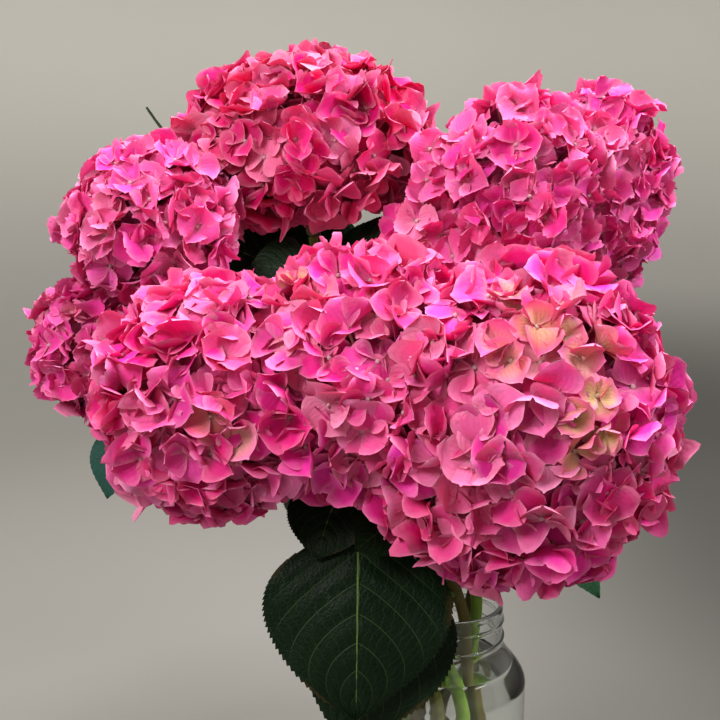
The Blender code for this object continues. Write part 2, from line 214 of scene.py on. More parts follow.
def shells(points: np.ndarray, thickness: Any, places: np.ndarray, tints: np.ndarray,
           back: float = 1.0) -> Surface:
    """Thin closed shells from sheets. The back is the sheet moved against its normals by the
    thickness, and shares the margin's points with the front, so that each shell is shut.

    Args:
        points: (sheets, rows, columns, 3), the upper sides.
        thickness: how thick each shell is at its middle.
        places: (sheets, rows, columns, 2).
        tints: (sheets, rows, columns, 3).
        back: the back's colour, in parts of the front's.

    Returns:
        The surface of all the shells.
    """
    count, rows, columns = points.shape[:3]
    inner = (slice(None), slice(1, -1), slice(1, -1))
    behind = points - sheet_normals(points) * np.asarray(thickness).reshape(-1, 1, 1, 1)
    front_number = np.arange(rows * columns).reshape(rows, columns)
    back_number = front_number.copy()
    back_number[1:-1, 1:-1] = rows * columns + np.arange((rows - 2) * (columns - 2)).reshape(
        rows - 2, columns - 2)

    def faces(number: np.ndarray) -> np.ndarray:
        """The grid's faces, first across and then along."""
        return np.stack([number[:-1, :-1], number[:-1, 1:], number[1:, 1:], number[1:, :-1]],
                        axis=-1).reshape(-1, 4)

    one = np.concatenate([faces(front_number), faces(back_number)[:, ::-1]])
    size = rows * columns + (rows - 2) * (columns - 2)
    quads = (one[None] + np.arange(count)[:, None, None] * size).reshape(-1, 4)

    def both(front: np.ndarray, rear: np.ndarray) -> np.ndarray:
        """Front values, then the rear's inner values, shell by shell."""
        width = front.shape[-1]
        return np.concatenate([front.reshape(count, -1, width),
                               rear[inner].reshape(count, -1, width)], axis=1).reshape(-1, width)

    return Surface(both(points, behind), quads, np.zeros((0, 3), dtype=int),
                   both(places, places), both(tints, tints * back))


def tubes(paths: np.ndarray, radii: np.ndarray, sides: int, tints: np.ndarray,
          flutes: Optional[Callable[[np.ndarray, np.ndarray], np.ndarray]] = None) -> Surface:
    """Closed round tubes. Each ring is the circle cos a N + sin a B about the path, where N is
    carried from ring to ring by taking off its part along the path, and B = path way x N.

    Args:
        paths: (tubes, rings, 3).
        radii: (tubes, rings).
        sides: the points in a ring.
        tints: (tubes, rings, 3).
        flutes: takes the angles and the ring numbers, and gives a factor on the radius.

    Returns:
        The surface, its ends closed by fans.
    """
    count, rings = paths.shape[:2]
    ways = unit(np.gradient(paths, axis=1))
    normal = square_pair(ways[:, 0])[0]
    normals = [normal]
    for ring in range(1, rings):
        way = ways[:, ring]
        normal = unit(normal - way * np.sum(normal * way, axis=-1, keepdims=True))
        normals.append(normal)
    first = np.stack(normals, axis=1)
    second = np.cross(ways, first)
    angle = np.arange(sides) * (2 * math.pi / sides)
    circle = (first[:, :, None] * np.cos(angle)[None, None, :, None]
              + second[:, :, None] * np.sin(angle)[None, None, :, None])
    reach = radii[:, :, None] * np.ones(sides)
    if flutes:
        reach = reach * flutes(angle[None, None, :], np.arange(rings)[None, :, None])
    skin = paths[:, :, None] + circle * reach[..., None]
    size = rings * sides + 2
    points = np.concatenate([skin.reshape(count, -1, 3), paths[:, :1], paths[:, -1:]], axis=1)
    number = np.arange(rings * sides).reshape(rings, sides)
    turned = np.roll(number, -1, axis=1)
    body = np.stack([number[:-1], turned[:-1], turned[1:], number[1:]], axis=-1).reshape(-1, 4)
    low, high = np.full(sides, size - 2), np.full(sides, size - 1)
    caps = np.concatenate([np.stack([low, turned[0], number[0]], axis=-1),
                           np.stack([high, number[-1], turned[-1]], axis=-1)])
    shift = np.arange(count)[:, None, None] * size
    span = np.linalg.norm(np.diff(paths, axis=1), axis=-1)
    run = np.concatenate([np.zeros((count, 1)), np.cumsum(span, axis=1)], axis=1)
    place = np.stack(np.broadcast_arrays(np.abs(angle / math.pi - 1)[None, None],
                                         run[:, :, None]), axis=-1).reshape(count, -1, 2)
    ends = np.stack([np.zeros((count, 2)), run[:, [0, -1]]], axis=-1)
    tint = np.broadcast_to(tints[:, :, None], (count, rings, sides, 3)).reshape(count, -1, 3)
    return Surface(points.reshape(-1, 3), (body[None] + shift).reshape(-1, 4),
                   (caps[None] + shift).reshape(-1, 3),
                   np.concatenate([place, ends], axis=1).reshape(-1, 2),
                   np.concatenate([tint, tints[:, [0, -1]]], axis=1).reshape(-1, 3))


def turned(profile: np.ndarray, steps: int,
           swell: Optional[Callable[[np.ndarray, np.ndarray], np.ndarray]] = None) -> Surface:
    """A profile of (r, z) turned about Z, from a pole to a pole: (r cos a, r sin a, z).

    Args:
        profile: (points, 2), with r = 0 at both ends.
        steps: the points in a turn.
        swell: takes the heights and the angles, and gives what is added to r.

    Returns:
        The closed surface, facing out where the profile runs down its outer side.
    """
    angle = np.arange(steps) * (2 * math.pi / steps)
    ring, height = profile[1:-1, 0][:, None], profile[1:-1, 1][:, None]
    radius = ring + np.zeros(steps)
    if swell is not None:
        radius = radius + swell(height, angle[None, :])
    skin = np.stack([radius * np.cos(angle), radius * np.sin(angle), height + np.zeros(steps)],
                    axis=-1).reshape(-1, 3)
    count = len(profile) - 2
    number = np.arange(count * steps).reshape(count, steps)
    ahead = np.roll(number, -1, axis=1)
    body = np.stack([number[:-1], number[1:], ahead[1:], ahead[:-1]], axis=-1).reshape(-1, 4)
    first, last = np.full(steps, count * steps), np.full(steps, count * steps + 1)
    caps = np.concatenate([np.stack([first, number[0], ahead[0]], axis=-1),
                           np.stack([last, ahead[-1], number[-1]], axis=-1)])
    poles = np.array([[0.0, 0.0, profile[0, 1]], [0.0, 0.0, profile[-1, 1]]])
    points = np.concatenate([skin, poles])
    return Surface(points, body, caps, points[:, [0, 2]], np.ones_like(points))


# --------------------------------------------------------------------------- finishes

class Sock:
    """A shader socket. Sums, products and so on with it add Math nodes."""

    def __init__(self, kit: "Kit", socket: bpy.types.NodeSocket) -> None:
        self.kit = kit
        self.socket = socket

    def _math(self, operation: str, first: "Value", second: "Value" = 0.0) -> "Sock":
        """A Math node of that operation."""
        return self.kit.node("ShaderNodeMath", {"operation": operation}, {0: first, 1: second})

    def __add__(self, other: "Value") -> "Sock":
        """self + other"""
        return self._math("ADD", self, other)

    def __sub__(self, other: "Value") -> "Sock":
        """self - other"""
        return self._math("SUBTRACT", self, other)

    def __rsub__(self, other: "Value") -> "Sock":
        """other - self"""
        return self._math("SUBTRACT", other, self)

    def __mul__(self, other: "Value") -> "Sock":
        """self * other"""
        return self._math("MULTIPLY", self, other)

    def __pow__(self, other: "Value") -> "Sock":
        """self to the power other"""
        return self._math("POWER", self, other)

    __radd__ = __add__
    __rmul__ = __mul__

    def most(self, other: "Value") -> "Sock":
        """The greater of self and other."""
        return self._math("MAXIMUM", self, other)

    def size(self) -> "Sock":
        """The absolute value."""
        return self._math("ABSOLUTE", self)

    def part(self) -> "Sock":
        """What is left over a whole number."""
        return self._math("FRACT", self)

    def step(self, low: float, high: float) -> "Sock":
        """0 at low and 1 at high, or the other way round, smooth between."""
        settings = {"interpolation_type": "SMOOTHSTEP"}
        if low <= high:
            return self.kit.node("ShaderNodeMapRange", settings, {0: self, 1: low, 2: high})
        return 1.0 - self.step(high, low)


Value = Union[Sock, float, int, Sequence[float]]


class Kit:
    """Adds nodes to one material, and links them to its output."""

    def __init__(self, name: str) -> None:
        """Makes the material, with only its output."""
        self.material = bpy.data.materials.new(name)
        self.material.use_nodes = True
        self.tree = self.material.node_tree
        self.tree.nodes.clear()
        self.out = self.tree.nodes.new("ShaderNodeOutputMaterial")

    def node(self, kind: str, settings: Optional[dict[str, Any]] = None,
             inputs: Optional[dict[Any, Value]] = None, output: Any = 0) -> Sock:
        """Adds a node.

        Args:
            kind: the node's type.
            settings: its own settings, set first.
            inputs: a value or a link for each socket, by name or number.
            output: the output that is wanted, by name or number.

        Returns:
            That output.
        """
        made = self.tree.nodes.new(kind)
        for key, value in (settings or {}).items():
            setattr(made, key, value)
        for key, value in (inputs or {}).items():
            if isinstance(value, Sock):
                self.tree.links.new(value.socket, made.inputs[key])
            else:
                made.inputs[key].default_value = value
        return Sock(self, made.outputs[output])

    def tint(self) -> Sock:
        """The colour that each point carries."""
        return self.node("ShaderNodeAttribute", {"attribute_name": "tint"}, output="Color")

    def here(self) -> Sock:
        """Object coordinates."""
        return self.node("ShaderNodeTexCoord", output="Object")

    def place(self) -> tuple[Sock, Sock]:
        """The two numbers of the piece's own UV map."""
        uv = self.node("ShaderNodeUVMap", {"uv_map": "place"})
        return tuple(self.node("ShaderNodeSeparateXYZ", None, {0: uv}, axis) for axis in (0, 1))

    def reach(self, axis: int) -> Sock:
        """The Object coordinate along one axis: 0, 1 or 2."""
        return self.node("ShaderNodeSeparateXYZ", None, {0: self.here()}, axis)

    def scaled(self, colour: Value, factor: Value) -> Sock:
        """A colour times a factor."""
        return self.node("ShaderNodeVectorMath", {"operation": "SCALE"}, {0: colour, "Scale": factor})

    def noise(self, scale: float, detail: float = 2.0, stretch: Optional[Triple] = None) -> Sock:
        """Noise from 0 to 1 on Object coordinates, stretched by a factor on each axis."""
        where = self.here()
        if stretch:
            where = self.node("ShaderNodeVectorMath", {"operation": "MULTIPLY"},
                              {0: where, 1: stretch})
        return self.node("ShaderNodeTexNoise", None,
                         {"Vector": where, "Scale": scale, "Detail": detail})

    def mix(self, share: Value, first: Value, second: Value) -> Sock:
        """A colour mix, share of the second. Colours are (r, g, b, 1)."""
        return self.node("ShaderNodeMix", {"data_type": "RGBA"}, {0: share, 6: first, 7: second}, 2)

    def bump(self, height: Value, strength: float, distance: float) -> Sock:
        """A Bump node's normal."""
        return self.node("ShaderNodeBump", None,
                         {"Height": height, "Strength": strength, "Distance": distance})

    def shader_mix(self, share: Value, first: Sock, second: Sock) -> Sock:
        """A mix of two shaders."""
        return self.node("ShaderNodeMixShader", None, {0: share, 1: first, 2: second})

    def finish(self, shader: Sock) -> bpy.types.Material:
        """Links the shader to the output, and gives the material."""
        self.tree.links.new(shader.socket, self.out.inputs["Surface"])
        return self.material


def rgba(colour: Triple) -> tuple[float, float, float, float]:
    """A colour with its alpha."""
    return (*colour, 1.0)


@dataclass(frozen=True)
class PetalFinish:
    """Satin sepals: fine veins fan from the base to the rim, and light comes through a little."""

    name: str
    through: Triple
    roughness: float = 0.52
    glow: float = 0.30
    veins: float = 9.0
    vein: Triple = (0.55, 0.02, 0.14)
    depth: float = 0.0003

    def build(self) -> bpy.types.Material:
        """Veins are lines of one place across, gently bent by noise, and fade towards the rim.

        Returns:
            The material.
        """
        kit = Kit(self.name)
        across, along = kit.place()
        wander = kit.noise(190.0) - 0.5
        line = ((across - 0.5) * self.veins + wander * 0.55).part() - 0.5
        vein = line.size().step(0.32, 0.04) * along.step(1.0, 0.15) * 0.55
        blotch = kit.noise(75.0, 3.0)
        grain = kit.noise(950.0)
        crease = kit.noise(330.0)
        lift = (blotch - 0.5) * 0.30 + (grain - 0.5) * 0.16 + 1.0
        toned = kit.mix(vein * 0.26, kit.tint(), rgba(self.vein))
        relief = vein * -1.0 + crease * 1.6 + grain * 0.3
        normal = kit.bump(relief, 0.7, self.depth)
        satin = kit.node("ShaderNodeBsdfPrincipled", None, {
            "Base Color": kit.scaled(toned, lift), "Roughness": (blotch - 0.5) * 0.16 + self.roughness,
            "Specular IOR Level": 0.09, "Normal": normal})
        light = kit.node("ShaderNodeBsdfTranslucent", None, {"Color": rgba(self.through)})
        return kit.finish(kit.shader_mix(self.glow, satin, light))


@dataclass(frozen=True)
class LeafFinish:
    """A leaf: dark and satin, with pale veins that curve to the tip and a net of fine ones."""

    pairs: float
    bend: float
    name: str = "leaf"
    vein: Triple = (0.055, 0.105, 0.036)
    through: Triple = (0.03, 0.10, 0.01)

    def build(self) -> bpy.types.Material:
        """A side vein is a line where along - bend |across|^1.3 is a whole number of steps.

        Returns:
            The material.
        """
        kit = Kit(self.name)
        over, along = kit.place()
        across = (over - 0.5).size() * 2.0
        rise = along - across ** 1.3 * self.bend
        side = ((rise * self.pairs).part() - 0.5).size().step(0.040, 0.008)
        side = side * across.step(1.0, 0.70) * along.step(1.0, 0.86)
        middle = (across * (along * 1.8 + 0.7)).step(0.026, 0.010)
        rungs = ((across * 9.0 + along * 7.0 + kit.noise(70.0) * 2.6).part() - 0.5).size().step(0.050, 0.01)
        cells = kit.node("ShaderNodeTexVoronoi", {"feature": "DISTANCE_TO_EDGE"},
                         {"Vector": kit.here(), "Scale": 330.0}, "Distance")
        net = cells.step(0.10, 0.02) * 0.20
        pale = (side * 0.62).most(middle).most(rungs * 0.26 + net * 0.35)
        blotch = kit.noise(42.0, 3.0)
        base = kit.scaled(kit.tint(), (blotch - 0.5) * 0.9 + 1.0)
        colour = kit.mix(pale * 0.72, base, rgba(self.vein))
        relief = (side + middle) * -0.8 + cells.step(0.0, 0.3) * 0.5 + rungs * -0.25
        satin = kit.node("ShaderNodeBsdfPrincipled", None, {
            "Base Color": colour, "Roughness": (blotch - 0.5) * 0.2 + 0.46,
            "Specular IOR Level": 0.12, "Normal": kit.bump(relief, 0.6, 0.0005)})
        light = kit.node("ShaderNodeBsdfTranslucent", None, {"Color": rgba(self.through)})
        return kit.finish(kit.shader_mix(0.08, satin, light))


@dataclass(frozen=True)
class BarkFinish:
    """Stem skin: green or brown, streaked along its length, with small corky dots."""

    name: str
    streak: Triple
    roughness: float = 0.52
    dot: Triple = (0.20, 0.14, 0.07)

    def build(self) -> bpy.types.Material:
        """Streaks are noise drawn out ten times along Z, and dots are the noise's high places.

        Returns:
            The material.
        """
        kit = Kit(self.name)
        streaks = kit.noise(260.0, 3.0, (1.0, 1.0, 0.1))
        dots = kit.noise(620.0, 1.0, (1.0, 1.0, 0.4)).step(0.60, 0.68)
        colour = kit.mix(streaks.step(0.40, 0.66) * 0.5, kit.tint(), rgba(self.streak))
        colour = kit.mix(dots * 0.35, colour, rgba(self.dot))
        normal = kit.bump(streaks + dots * 0.6, 0.5, 0.0004)
        return kit.finish(kit.node("ShaderNodeBsdfPrincipled", None, {
            "Base Color": colour, "Roughness": streaks * 0.15 + self.roughness,
            "Specular IOR Level": 0.35, "Normal": normal}))


@dataclass(frozen=True)
class ClearFinish:
    """Glass or water. Rays that look for a lamp go straight through it."""

    name: str
    colour: Triple
    ior: float
    wobble: float

    def build(self) -> bpy.types.Material:
        """A clear Principled shader with a faint wobble in its surface, mixed with a plain pass
        for shadow rays.

        Returns:
            The material.
        """
        kit = Kit(self.name)
        smear = kit.noise(38.0)
        inputs: dict[Any, Value] = {
            "Base Color": rgba(self.colour), "Roughness": smear * 0.012, "IOR": self.ior,
            "Transmission Weight": 1.0}
        if self.wobble:
            inputs["Normal"] = kit.bump(smear, self.wobble, 0.0012)
        clear = kit.node("ShaderNodeBsdfPrincipled", None, inputs)
        straight = kit.node("ShaderNodeBsdfTransparent", None, {"Color": rgba(self.colour)})
        shadow = kit.node("ShaderNodeLightPath", output="Is Shadow Ray")
        return kit.finish(kit.shader_mix(shadow, clear, straight))


@dataclass(frozen=True)
class BackdropFinish:
    """The pale warm-grey paper that sweeps up behind the bunch."""

    name: str = "backdrop"
    colour: Triple = (0.520, 0.505, 0.455)

    def build(self) -> bpy.types.Material:
        """A matte colour with a faint mottle, and painted shade: a little darker to the right, darker
        low down, and darkest on the floor to the right of the jar, a painted shadow, as on a sweep that is
        lit from the upper left.

        Returns:
            The material.
        """
        kit = Kit(self.name)
        mottle = kit.noise(2.2, 4.0)
        height, right = kit.reach(2), kit.reach(0)
        # painted shade: the wall is a little darker towards the right
        wall = ((mottle - 0.5) * 0.06 + 1.0) * (1.0 - right.step(-0.2, 0.9) * 0.06)
        # painted shadow: the floor to the right of the jar is darker, as under the bunch's shadow
        floor = 1.0 - height.step(0.25, 0.0) * right.step(-0.1, 0.5) * 0.64
        # painted shade: darker low down, over the lowest metre
        scale = wall * floor * (1.0 - height.step(1.0, 0.0) * 0.59)
        colour = kit.scaled(self.colour, scale)
        return kit.finish(kit.node("ShaderNodeBsdfPrincipled", None, {
            "Base Color": colour, "Roughness": 0.9, "Specular IOR Level": 0.1}))


# --------------------------------------------------------------------------- flower heads

class Rim(Enum):
    """How a head's sepals end: with a smooth edge, or with small teeth."""

    SMOOTH = (8, 5, 0.0)
    TOOTHED = (12, 5, 0.055)


class Tone(Enum):
    """A head's petals: their slot, the brighter colour, the cooler one, and what shines through."""

    ROSE = ("petal_rose", (0.91, 0.018, 0.260), (0.89, 0.048, 0.460), (0.92, 0.045, 0.34))
    PINK = ("petal_pink", (0.96, 0.040, 0.340), (0.95, 0.075, 0.500), (0.94, 0.070, 0.40))
    MAGENTA = ("petal_magenta", (0.76, 0.006, 0.160), (0.80, 0.022, 0.300), (0.90, 0.018, 0.20))

    def __init__(self, slot: str, warm: Triple, cool: Triple, through: Triple) -> None:
        """Names the parts of the value."""
        self.slot, self.warm, self.cool, self.through = slot, warm, cool, through


FRESH_GREEN: Triple = (0.641, 0.666, 0.197)
PALE_ROSE: Triple = (0.98, 0.50, 0.70)


@dataclass(frozen=True)
class Patch:
    """A round patch of a head where the flowers are young: their place, how far it reaches, how
    green they are, and how small."""

    middle: Triple
    reach: float
    green: float
    shrink: float


@dataclass(frozen=True)
class FlowerHead:
    """A mophead: rays from the stem, finer stalks, and four-sepalled flowers over its dome. Its
    half sizes are across and deep, and its hub lies the lead behind its middle. Flowers stand a
    spacing apart, on sepals of a length, and loose ones hang at places outside the dome."""

    name: str
    slot: int
    centre: Triple
    across: float
    deep: float
    axis: Triple
    lead: float
    tone: Tone
    rim: Rim
    spacing: float
    sepal: float
    patches: tuple[Patch, ...] = ()
    loose: tuple[Triple, ...] = ()

    # each layer's spacing in parts of the head's, its least and greatest depth, and its size
    LAYERS: ClassVar[tuple[tuple[float, ...], ...]] = ((1.0, 0.007, 0.015, 1.0), (1.4, 0.018, 0.028, 0.92))
    LOOSE_WAY: ClassVar[Triple] = (-0.35, -0.85, 0.25)
    KNOT: ClassVar[float] = 0.0052
    EDGE: ClassVar[float] = math.radians(150)
    FORKS: ClassVar[int] = 21
    RAY_RADII: ClassVar[tuple[float, float]] = (0.0021, 0.0012)
    STALK_RADII: ClassVar[tuple[float, ...]] = (0.0011, 0.0008, 0.0007, 0.0007, 0.0008, 0.0012)
    RAY_GREEN: ClassVar[Triple] = (0.16, 0.20, 0.05)
    RAY_FLUSH: ClassVar[Triple] = (0.42, 0.09, 0.13)

    @property
    def facing(self) -> np.ndarray:
        """The way the dome faces."""
        return unit(np.array(self.axis))

    @property
    def middle(self) -> np.ndarray:
        """The middle of the head."""
        return np.array(self.centre)

    @property
    def hub(self) -> np.ndarray:
        """Where the rays leave the stem."""
        return self.middle - self.facing * self.lead

    @property
    def girth(self) -> float:
        """The half size that decides where it presses on its neighbours."""
        return (self.across + self.deep) / 2

    def parting(self, others: Sequence["FlowerHead"], point: np.ndarray) -> np.ndarray:
        """How far beyond the nearest parting plane each point lies, below 0 on the head's side.
        The plane is square to the line of the two middles, at (d^2 + a^2 - b^2) / 2d along it.

        Args:
            others: all the heads.
            point: (..., 3).

        Returns:
            Distances, (...).
        """
        worst = np.full(point.shape[:-1], -1.0)
        for other in others:
            apart = other.middle - self.middle
            length = float(np.linalg.norm(apart))
            if other is self or length > max(self.girth, self.across) + max(other.girth, other.across):
                continue
            share = (length**2 + self.girth**2 - other.girth**2) / (2 * length)
            worst = np.maximum(worst, (point - self.middle) @ (apart / length) - share)
        return worst

    def spiral(self, spacing: float, chance: np.random.Generator) -> np.ndarray:
        """Ways out of the middle, spread evenly by the golden angle from the axis to the edge.

        Args:
            spacing: the distance between flowers.
            chance: the source of the small shifts.

        Returns:
            Unit vectors, (count, 3).
        """
        share = (1 - math.cos(self.EDGE)) / 2
        area = 4 * math.pi * (self.across**2 * self.deep) ** (2 / 3) * share
        count = int(area / (spacing**2 * 0.87))
        number = np.arange(count) + 0.5
        polar = np.arccos(1 - 2 * share * number / count)
        turn = number * GOLDEN_ANGLE + chance.uniform(0, 6.28)
        polar = polar + chance.normal(0, 0.09, count) * spacing / self.girth * 3
        turn = turn + chance.normal(0, 0.20, count) * spacing / self.girth
        first, second = square_pair(self.facing)
        return (np.sin(polar)[:, None] * (np.cos(turn)[:, None] * first + np.sin(turn)[:, None] * second)
                + np.cos(polar)[:, None] * self.facing)

    def landing(self, ways: np.ndarray, skin: BVHTree) -> tuple[np.ndarray, np.ndarray]:
        """Where each way from the middle meets the head's CAD solid.

        Args:
            ways: unit vectors, (count, 3).
            skin: the solid's faces.

        Returns:
            The points and the outward normals of an ellipsoid at them, (count, 3) each.
        """
        start = Vector(self.middle)
        found = [skin.ray_cast(start, Vector(way))[0] for way in ways]
        kept = np.array([hit is not None for hit in found])
        points = np.array([tuple(hit) for hit in found if hit is not None])
        lean = unit(ways[kept] / self.across**2
                    + np.outer(ways[kept] @ self.facing, self.facing)
                    * (1 / self.deep**2 - 1 / self.across**2))
        return points, lean

    def build(self, others: Sequence["FlowerHead"], petal: bpy.types.Material,
              stalk: bpy.types.Material) -> None:
        """Makes the head's three pieces: its outer flowers, the ones under them with any loose ones,
        and the rays that carry them all.

        Args:
            others: all the heads.
            petal: the flowers' finish.
            stalk: the rays' finish.
        """
        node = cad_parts["head_" + self.name].data
        skin = BVHTree.FromPolygons([vertex.co for vertex in node.vertices],
                                    [tuple(face.vertices) for face in node.polygons])
        chance = np.random.default_rng(100 + self.slot)
        layers = []
        for wider, low, high, size in self.LAYERS:
            points, lean = self.landing(self.spiral(self.spacing * wider, chance), skin)
            count = len(points)
            depth = low + (high - low) * ((np.arange(count) % 3) / 3 + chance.uniform(0, 0.34, count))
            points = points - lean * depth[:, None]
            kept = self.parting(others, points) < -0.003
            layers.append((points[kept], lean[kept], np.full(int(kept.sum()), size)))
        loose = np.array(self.loose).reshape(-1, 3)
        way = unit(np.array(self.LOOSE_WAY))
        layers.append((loose, np.broadcast_to(way, loose.shape), np.ones(len(loose))))
        points, lean, size = (np.concatenate(parts) for parts in zip(*layers))
        flowers = Flowers(self, points, lean, size, chance)
        sepals, buds = flowers.sepals(), flowers.buds()
        outer, count = len(layers[0][0]), len(points)
        for kind, first, last, nodes in (("flowers_", 0, outer, ["head_" + self.name]),
                                         ("under_flowers_", outer, count, [])):
            both = Surface.joined([sepals.some(first, last, count), buds.some(first, last, count)])
            both.as_piece(kind + self.name, petal, self.tone.slot, nodes)
        self.rays(points, flowers.facing, chance).as_piece(
            "rays_fine_" + self.name, stalk, "ray", ["rays_" + self.name])

    def rays(self, ends: np.ndarray, facing: np.ndarray, chance: np.random.Generator) -> Surface:
        """Thick rays from the hub to forks half way out, and a fine stalk from the nearest fork
        to each flower. Both are cubics, carried as tubes.

        Args:
            ends: the flowers' middles, (count, 3).
            facing: the way each flower faces.
            chance: the source of the small shifts.

        Returns:
            The surface of all of them and the knot at the hub.
        """
        out = self.spiral(self.across * 2.4 / math.sqrt(self.FORKS), chance)[:self.FORKS]
        reach = np.linalg.norm(ends - self.middle, axis=-1).mean() * 0.42
        forks = self.middle - self.facing * self.deep * 0.18 + out * reach
        near = np.linalg.norm(ends[:, None] - forks[None], axis=-1).argmin(axis=1)
        hub = np.broadcast_to(self.hub, forks.shape)
        thick = cubic(hub, forks - hub + self.facing * 0.03, forks, out + self.facing * 0.3, 0.3, 6)
        width = np.tile(np.linspace(*self.RAY_RADII, 7), (len(forks), 1))
        thick_tint = self.flushed(np.linspace(0, 0.55, 7), len(forks))
        start = forks[near]
        fine = cubic(start, ends - start, ends - facing * 0.0006, facing, 0.3, 5)
        fine_width = np.tile(self.STALK_RADII, (len(ends), 1))
        fine_tint = self.flushed(np.linspace(0.5, 1.0, 6), len(ends))
        knot = np.stack([self.hub + self.facing * step
                         for step in np.linspace(-self.KNOT, self.KNOT, 9)])[None]
        bulge = self.KNOT * np.sqrt(np.clip(1 - np.linspace(-0.97, 0.97, 9) ** 2, 0, 1))[None]
        knot_tint = self.flushed(np.zeros(9), 1)
        return Surface.joined([tubes(thick, width, 7, thick_tint), tubes(fine, fine_width, 5, fine_tint),
                               tubes(knot, bulge, 12, knot_tint)])

    def flushed(self, shares: np.ndarray, count: int) -> np.ndarray:
        """The rays' green, flushed with rose by a share at each ring, for that many rays."""
        return np.tile(blend(self.RAY_GREEN, self.RAY_FLUSH, shares[:, None]), (count, 1, 1))


Spread = tuple[float, float]


@dataclass(frozen=True)
class Habit:
    """How much flowers differ. A pair is the middle and the spread of a normal draw. Angles are in
    radians, and the rest is in parts of a sepal's length or of its half width."""

    tilt: float = 0.32
    turn: Spread = (0.0, 0.10)
    flower_size: Spread = (1.0, 0.07)
    sepal_size: Spread = (1.0, 0.06)
    width: Spread = (0.66, 0.05)
    flower_lift: Spread = (0.26, 0.22)
    sepal_lift: Spread = (0.0, 0.20)
    curl: Spread = (-0.10, 0.62)
    least_curl: float = 0.03
    cup: Spread = (0.04, 0.26)
    fold: Spread = (0.10, 0.24)
    ripple: Spread = (0.0, 0.20)
    flute: Spread = (0.0, 0.11)
    twist: Spread = (0.0, 0.22)
    closing: float = 1.1
    cool: Spread = (0.40, 0.30)
    flower_worth: Spread = (1.0, 0.13)
    sepal_worth: Spread = (1.0, 0.07)
    pale: Spread = (0.12, 0.17)
    palest: float = 0.6


